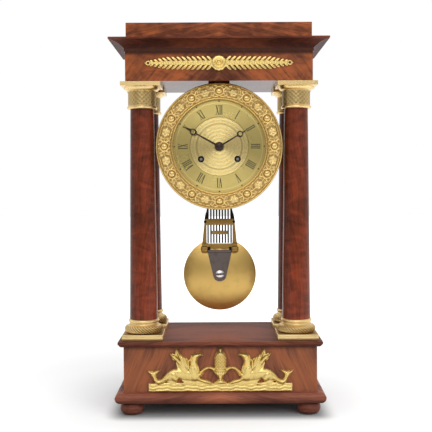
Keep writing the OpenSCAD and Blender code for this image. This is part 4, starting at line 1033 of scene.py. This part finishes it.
class CLOCK_OT_dial(bpy.types.Operator):
    """Turn the dial and fill its numerals"""

    bl_idname = "clock.dial"
    bl_label = "Dial"

    def execute(self, context):
        metal = context.scene.portico_clock.metal
        self.turn_dial(metal)
        self.fill_numerals(metal)
        return {"FINISHED"}

    def turn_dial(self, metal):
        f = Finish("gilt_dial", Metallic=1.0)
        x, _, z = f.parts(f.place(shift=(0, 0, -DIAL_Z)))
        radius, angle = x.hypot(z), x.angle(z)

        def ring(at, half, soft):
            """1 on a ring of the dial and 0 beside it."""
            return (abs(radius - at) - half).step(soft, 0)

        # the centre is engine-turned in three bands
        centre_r, band_r, eye_r = 35.6, 27.6, 11.5
        centre = (centre_r - radius).step(0, 0.3)
        outer = (radius - band_r).step(0, 0.2)
        inner = (radius - eye_r).step(0, 0.2)
        rays = (angle * 120).sin()
        basket = (radius * 3.6 + (angle * 36).sin() * 0.5).sin()
        eye = (angle * 30).sin() * (radius * 1.3).sin()
        figure = outer * rays * 0.2 + (1 - outer) * inner * basket + (1 - inner) * eye * 0.6
        arcs = (radius * (math.tau / 4.4)).sin()
        turning = (radius * (math.tau / 0.55)).sin()
        haze = f.noise(f.place(), 0.045, 4, 0.6)
        chapter = f.mix(haze.step(0.42, 0.8) * 0.35, metal.dial, toned(metal.dial, 0.7))
        shadow = figure * 0.08 + arcs * 0.07 + 0.14
        bright = f.mix(shadow, metal.centre, toned(metal.centre, 0.55))
        # dark rings: a line just outside the centre, painted shade of a groove at 27.8 mm, and a
        # painted shadow of the bezel at 56.4 mm
        dark_lines_and_painted_shade = ring(35.8, 0.3, 0.25) + ring(27.8, 0.8, 0.4) * 0.7 + ring(56.4, 0.2, 0.2) * 0.6
        surface = f.mix(centre, chapter, bright)
        surface = f.mix(dark_lines_and_painted_shade.clamp() * 0.5, surface, toned(metal.dial, 0.35))
        # a turned bead: its bump is real, and its brighter colour is a painted highlight
        bead_highlight = ring(52.8, 0.3, 0.3)
        height = turning * 0.019 + (figure * 0.006 + arcs * 0.03) * centre + bead_highlight * 0.12
        f.feed(
            Base_Color=f.mix(bead_highlight * 0.5, surface, metal.centre),
            Roughness=0.25 + haze * 0.06 - centre * 0.04,
            Normal=f.bump(height, 1.0, 1.0),
        )
        dress(f.material, "dial")

    def fill_numerals(self, metal):
        foot, tall, lift, proud = 38.7, 11.3, 0.14, 0.01
        thick, thin, slant, serif, serif_width = 1.15, 0.5, 1.45, 0.4, 2.0
        dot_place, dot_radius = 54.9, 1.0
        both = (-slant, slant)
        # room of a letter, its strokes from foot to head, and its serifs at head and foot
        letters = {
            "I": (2.15, [(0, 0, thick)], (0,), (0,)),
            "V": (4.5, [(0, -slant, thick), (0, slant, thin)], both, ()),
            "X": (4.5, [(slant, -slant, thick), (-slant, slant, thin)], both, both),
        }
        bm = bmesh.new()
        for hour, numeral in enumerate("XII I II III IIII V VI VII VIII IX X XI".split()):
            figure = bmesh.new()

            def stroke(low, high, width, start=0.0, end=tall, base=0.0):
                ends = [(low - width / 2, start), (low + width / 2, start)]
                ends += [(high + width / 2, end), (high - width / 2, end)]
                plate(figure, ends, base, base + lift)

            at = -sum(letters[c][0] for c in numeral) / 2
            for c in numeral:
                room, strokes, heads, feet = letters[c]
                mid = at + room / 2
                for low, high, width in strokes:
                    stroke(mid + low, mid + high, width)
                for start, places in ((tall - serif, heads), (0, feet)):
                    for x in places:
                        stroke(mid + x, mid + x, serif_width, start, start + serif, proud)
                at += room
            turn = math.tau * hour / 12
            figure.transform(Matrix.Rotation(-turn, 4, "Z") @ Matrix.Translation((0, foot, 0)))
            join_in(bm, figure)
            dot = Vector((math.sin(turn), math.cos(turn), 0)) * dot_place
            bmesh.ops.create_cone(
                bm, cap_ends=True, segments=16, radius1=dot_radius, radius2=0.85 * dot_radius,
                depth=2 * lift, matrix=Matrix.Translation(dot),
            )
        f = Finish("numeral_wax", Specular_IOR_Level=0.3)
        mottled = f.noise(f.place(), 1.2, 3, 0.6)
        f.feed(
            Base_Color=f.mix(mottled, metal.numeral, toned(metal.numeral, 1.9)),
            Roughness=0.5 + mottled * 0.2,
        )
        plane = facing(DIAL_FACE, DIAL_Z)
        finish_piece("numerals", bm, plane, f.material, "case", (), 30)


class CLOCK_OT_hands(bpy.types.Operator):
    """Blue the hands"""

    bl_idname = "clock.hands"
    bl_label = "Hands"

    def execute(self, context):
        shade = context.scene.portico_clock.metal.blued
        f = Finish("blued_steel", Metallic=0.75, Coat_Weight=0.3, Coat_Roughness=0.15)
        haze = f.noise(f.place(), 0.5, 4, 0.6)
        f.feed(
            Base_Color=f.mix(haze.step(0.4, 0.75), shade, toned(shade, 1.8)),
            Roughness=0.28 + haze * 0.15,
        )
        dress(f.material, "hour_hand", "minute_hand")
        return {"FINISHED"}


class CLOCK_OT_pendulum(bpy.types.Operator):
    """Finish the pendulum with its frame, yoke and tongue"""

    bl_idname = "clock.pendulum"
    bl_label = "Pendulum"

    def execute(self, context):
        metal = context.scene.portico_clock.metal
        dress(turned_brass("satin_bob", metal.bob, BOB_Z, 0.21, 0.6, 0.2), "bob")
        dark = worked_metal("rod_steel", toned(metal.tongue, 0.12), 0.4, "z")
        dress(dark, "gridiron_rods")
        dress(worked_metal("head_brass", metal.brass, 0.3, "z"), "pendulum_head")
        plane = facing(YOKE_BACK, BOB_Z)
        self.make_frame(plane, worked_metal("frame_brass", metal.bronze, 0.36, "x", 0.5))
        self.make_shoulders(plane, dark)
        self.make_tongue(plane, worked_metal("tongue_steel", metal.tongue, 0.3, "z", 0.45))
        self.make_screw(plane, worked_metal("screw_steel", metal.screw, 0.16, "x", 0.15))
        return {"FINISHED"}

    def make_frame(self, plane, brass):
        bm = bmesh.new()
        bar(bm, -19.4, 65.9, 19.4, 73.9, 1.5, 3.5)
        bar(bm, -10.1, 53.8, 10.1, 58.4, 1.5, 3.5)
        scallop = bow((12.4, 36.9), (0.4, 36.9), 1.5, 8) + bow((-0.4, 36.9), (-12.4, 36.9), 1.5, 8)
        plate(bm, [(17, 40.9), (-17, 40.9), (-17, 36.4), *reversed(scallop), (17, 36.4)], 0, 4.2)
        for side in (-1, 1):
            strip = [(16.9, 40), (22.7, 40), (19.8, 68), (19.6, 71), (16.9, 71)]
            plate(bm, [(side * x, y) for x, y in strip[::side]], -0.8, 2.2)
            bar(bm, side * 15.4, 38.4, side * 23, 42.2, 0, 4.4, 0.9)
            bar(bm, side * 15.0, 30.2, side * 24.4, 38.6, 0, 5.3, 2.2)
        finish_piece(
            "gridiron_bars", bm, plane, brass, "pendulum", ("gridiron_frame",), 35
        )

    def make_shoulders(self, plane, steel):
        bm = bmesh.new()
        edge = [(15, 71), (19.8, 71), (19.2, 76), (18.2, 80), (17, 83.4), (15.9, 88), (15, 88)]
        for side in (-1, 1):
            plate(bm, [(side * x, y) for x, y in edge[::side]], -0.6, 1.4)
            ball(bm, (side * 18.7, 70), 1.9, 1.4, 3.2, 12)
            bar(bm, side * 12.4, 33.7, side * 15.2, 37.8, 1.6, 4.6)
        finish_piece("gridiron_shoulders", bm, plane, steel, "pendulum", (), 35)

    def make_tongue(self, plane, steel):
        bm = bmesh.new()
        tip = arc((0, 1.0), (8.6, 8.6), 1.54 * math.pi, 2.46 * math.pi, 24)
        plate(bm, [(15.6, 30.6), (-15.6, 30.6), *tip], 2.0, 3.5)
        bar(bm, -15.6, 29.8, 15.6, 33.6, 1.8, 4.3, 1.1)
        finish_piece("bob_tongue_plate", bm, plane, steel, "pendulum", ("bob_tongue",), 35)

    def make_screw(self, plane, steel):
        """A domed head whose slot parts it into two halves."""
        radius, slot, up, lean = 5.7, 1.3, 1.8, 0.06
        dome = [(0, 5.4), *arc((0, 3.4), (radius, 2.0), math.pi - 0.2, math.pi / 2, 10)]
        bm = bmesh.new()
        for turn in (lean + math.pi, lean):
            half = bmesh.new()
            turned(half, dome + [(radius, 3.3), (0, 3.3)], 40)
            bmesh.ops.remove_doubles(half, verts=half.verts, dist=MERGE)
            whole = [*half.verts, *half.edges, *half.faces]
            cut = bmesh.ops.bisect_plane(
                half, geom=whole, plane_co=(0, slot, 0), plane_no=(0, 1, 0), clear_inner=True
            )["geom_cut"]
            bmesh.ops.holes_fill(half, edges=[g for g in cut if isinstance(g, bmesh.types.BMEdge)])
            half.transform(Matrix.Translation((0, up, 0)) @ Matrix.Rotation(turn, 4, "Z"))
            join_in(bm, half)
        finish_piece("bob_screw_head", bm, plane, steel, "pendulum", (), 30)


class CLOCK_OT_movement(bpy.types.Operator):
    """Finish the plates, wheels and steelwork of the movement"""

    bl_idname = "clock.movement"
    bl_label = "Movement"

    def execute(self, context):
        metal = context.scene.portico_clock.metal
        brass, bell = metal.brass, toned(metal.bob, 0.9)
        finishes = (
            (
                worked_metal("plate_brass", brass, 0.26, "z", 0.35),
                "front_plate back_plate back_ring bell_stand suspension_cock plate_pillars",
            ),
            (
                turned_brass("drum_brass", brass, DIAL_Z, 0.3),
                "drum cannon_pinion hour_wheel centre_wheel",
            ),
            (
                worked_metal("wheel_brass", brass, 0.24, "x", 0.25),
                "going_barrel strike_barrel second_wheel third_wheel escape_wheel strike_wheel "
                "count_wheel pin_wheel warning_wheel fly minute_wheel",
            ),
            (turned_brass("bell_metal", bell, DIAL_Z, 0.22, 1.2), "bell"),
            (
                worked_metal("bright_steel", metal.steel, 0.24, "y", 0.35),
                "column_tie_rods case_screws straps going_mainspring going_click pallets "
                "strike_mainspring strike_click hammer suspension_spring",
            ),
        )
        for finish, nodes in finishes:
            dress(finish, *nodes.split())
        self.finish_arbors(metal.steel)
        return {"FINISHED"}

    def finish_arbors(self, shade):
        """Darkens the winding arbors behind the dial, as painted shade in the winding holes, but
        for the square ends in the dial.
        """
        f = Finish("winding_steel", Metallic=1.0)
        _, y, _ = f.parts(f.place())
        square = 1.3
        # painted shade: darker behind the dial's face, where the winding holes are in shade
        behind = (y - (DIAL_FACE + square)).step(0, 0.2)
        scratch = scratches(f, "y")
        f.feed(
            Base_Color=f.mix(behind, shade, toned(shade, 0.06)),
            Roughness=0.3 + scratch * 0.14,
            Normal=f.bump(scratch, 0.15, 0.05),
        )
        dress(f.material, "going_arbor", "strike_arbor")


class CLOCK_OT_stage(bpy.types.Operator):
    """Set up the floor, the light and the camera"""

    bl_idname = "clock.stage"
    bl_label = "Studio"

    def execute(self, context):
        stage = context.scene.portico_clock.stage
        self.lay_floor()
        self.light_studio(stage)
        self.set_camera(stage)
        context.scene.view_settings.view_transform = "Standard"
        return {"FINISHED"}

    def lay_floor(self):
        f = Finish("pale_floor", Roughness=0.7, Specular_IOR_Level=0.1, Emission_Strength=1.0)
        x, y, _ = f.parts(f.place())
        # distance from the clock's foot, which stands back from its widest places
        back = 14
        foot_x, foot_y, _ = (edge / MM - back for edge in CAD_BOX[1])
        away = (abs(x) - foot_x).most(0).hypot((abs(y) - foot_y).most(0))
        # in reflections the sheet ends in front of the clock
        ahead = (0 - y).step(700, 1300)
        mirrored_ray = f.ray("Glossy").most(f.ray("Transmission"))
        seen = f.ray("Camera").most(mirrored_ray * (1 - ahead) * 0.62)
        glow = away.step(0, 26) * 0.28 + away.step(20, 140) * 0.1 + away.step(120, 900) * 0.62
        glow = glow * seen
        # the floor is darker round the clock's foot: a painted contact shadow
        painted_shadow, sheet, front = ((level,) * 3 for level in (0.25, 0.5, 0.1))
        f.feed(
            Base_Color=f.mix(ahead, f.mix(away.step(0, 30), painted_shadow, sheet), front),
            Emission_Color=f.join(glow, glow, glow),
        )
        bm = bmesh.new()
        bmesh.ops.create_grid(bm, x_segments=2, y_segments=2, size=6.0)
        add_object("floor", bm, f.material)

    def light_studio(self, stage):
        world = bpy.data.worlds.new("studio")
        bpy.context.scene.world = world
        world.use_nodes = True
        world.node_tree.nodes.clear()
        s = Shading(world.node_tree)
        x, y, z = s.parts(s.node("ShaderNodeTexCoord", {}, {}, "Generated"))
        # metal sees a room that is darker in front of the clock than behind it and above
        room = y.step(-0.75, -0.1).most(z.step(0.1, 0.55)) * (0.85 - stage.room) + stage.room
        # a soft lamp above the viewer
        lamp_way = Vector((-0.05, -0.85, 0.52)).normalized()
        lamp = (x * lamp_way.x + y * lamp_way.y + z * lamp_way.z).step(0.88, 0.97)
        around = (z.step(0, 0.6) * 1.3 + 0.2) * stage.ambient
        camera, glossy = s.ray("Camera"), s.ray("Glossy")
        level = ((room + lamp * 1.3) * glossy + (1 - glossy) * around) * (1 - camera) + camera
        sky = s.node("ShaderNodeBackground", {}, {"Color": s.join(level, level, level)})
        s.node("ShaderNodeOutputWorld", {}, {"Surface": sky}, None)

        aim = Vector((0, 0, 0.24))
        for name, at, size, power in (
            ("front_softbox", (0.6, -1.5, 1.15), 1.6, 28.0),
            ("overhead_softbox", (0.4, -0.4, 1.9), 2.0, 12.0),
            ("right_softbox", (1.6, -1.0, 0.9), 1.5, 13.0),
            ("left_softbox", (-1.6, -1.0, 0.7), 1.4, 6.0),
        ):
            lamp = bpy.data.lights.new(name, "AREA")
            lamp.size = size
            lamp.energy = power
            holder = bpy.data.objects.new(name, lamp)
            bpy.context.scene.collection.objects.link(holder)
            holder.location = at
            holder.visible_glossy = False
            way = aim - holder.location
            holder.rotation_euler = way.to_track_quat("-Z", "Y").to_euler()

    def set_camera(self, stage):
        lens = bpy.data.cameras.new("camera")
        lens.lens = stage.lens
        lens.sensor_width = 36
        lens.clip_end = 50
        camera = bpy.data.objects.new("camera", lens)
        bpy.context.scene.collection.objects.link(camera)
        # the camera stands a little aside and is a little askew
        aside, turn, roll = -0.00278, 0.0017, -0.0051
        camera.matrix_world = (
            Matrix.Translation((aside, -stage.distance, stage.height))
            @ Matrix.Rotation(turn, 4, "Z")
            @ Matrix.Rotation(math.pi / 2 - stage.tilt, 4, "X")
            @ Matrix.Rotation(roll, 4, "Z")
        )
        bpy.context.scene.camera = camera


PIECES = (
    CLOCK_OT_case,
    CLOCK_OT_columns,
    CLOCK_OT_column_bases,
    CLOCK_OT_capitals,
    CLOCK_OT_frieze_mount,
    CLOCK_OT_base_mount,
    CLOCK_OT_bezel,
    CLOCK_OT_dial,
    CLOCK_OT_hands,
    CLOCK_OT_pendulum,
    CLOCK_OT_movement,
    CLOCK_OT_stage,
)


class CLOCK_PT_panel(bpy.types.Panel):
    """Lists the pieces of the clock"""

    bl_idname = "CLOCK_PT_panel"
    bl_label = "Portico clock"
    bl_space_type = "VIEW_3D"
    bl_region_type = "UI"
    bl_category = "Clock"

    def draw(self, context):
        for piece in PIECES:
            self.layout.operator(piece.bl_idname)
        self.layout.prop(context.scene.portico_clock, "gadroons")


CLASSES = (ClockWood, ClockMetal, ClockStage, ClockSettings, *PIECES, CLOCK_PT_panel)


def register():
    for item in CLASSES:
        bpy.utils.register_class(item)
    bpy.types.Scene.portico_clock = PointerProperty(type=ClockSettings)


def unregister():
    del bpy.types.Scene.portico_clock
    for item in reversed(CLASSES):
        bpy.utils.unregister_class(item)


def main():
    register()
    for piece in PIECES:
        group, name = piece.bl_idname.split(".")
        getattr(getattr(bpy.ops, group), name)()


if __name__ == "__main__":
    main()
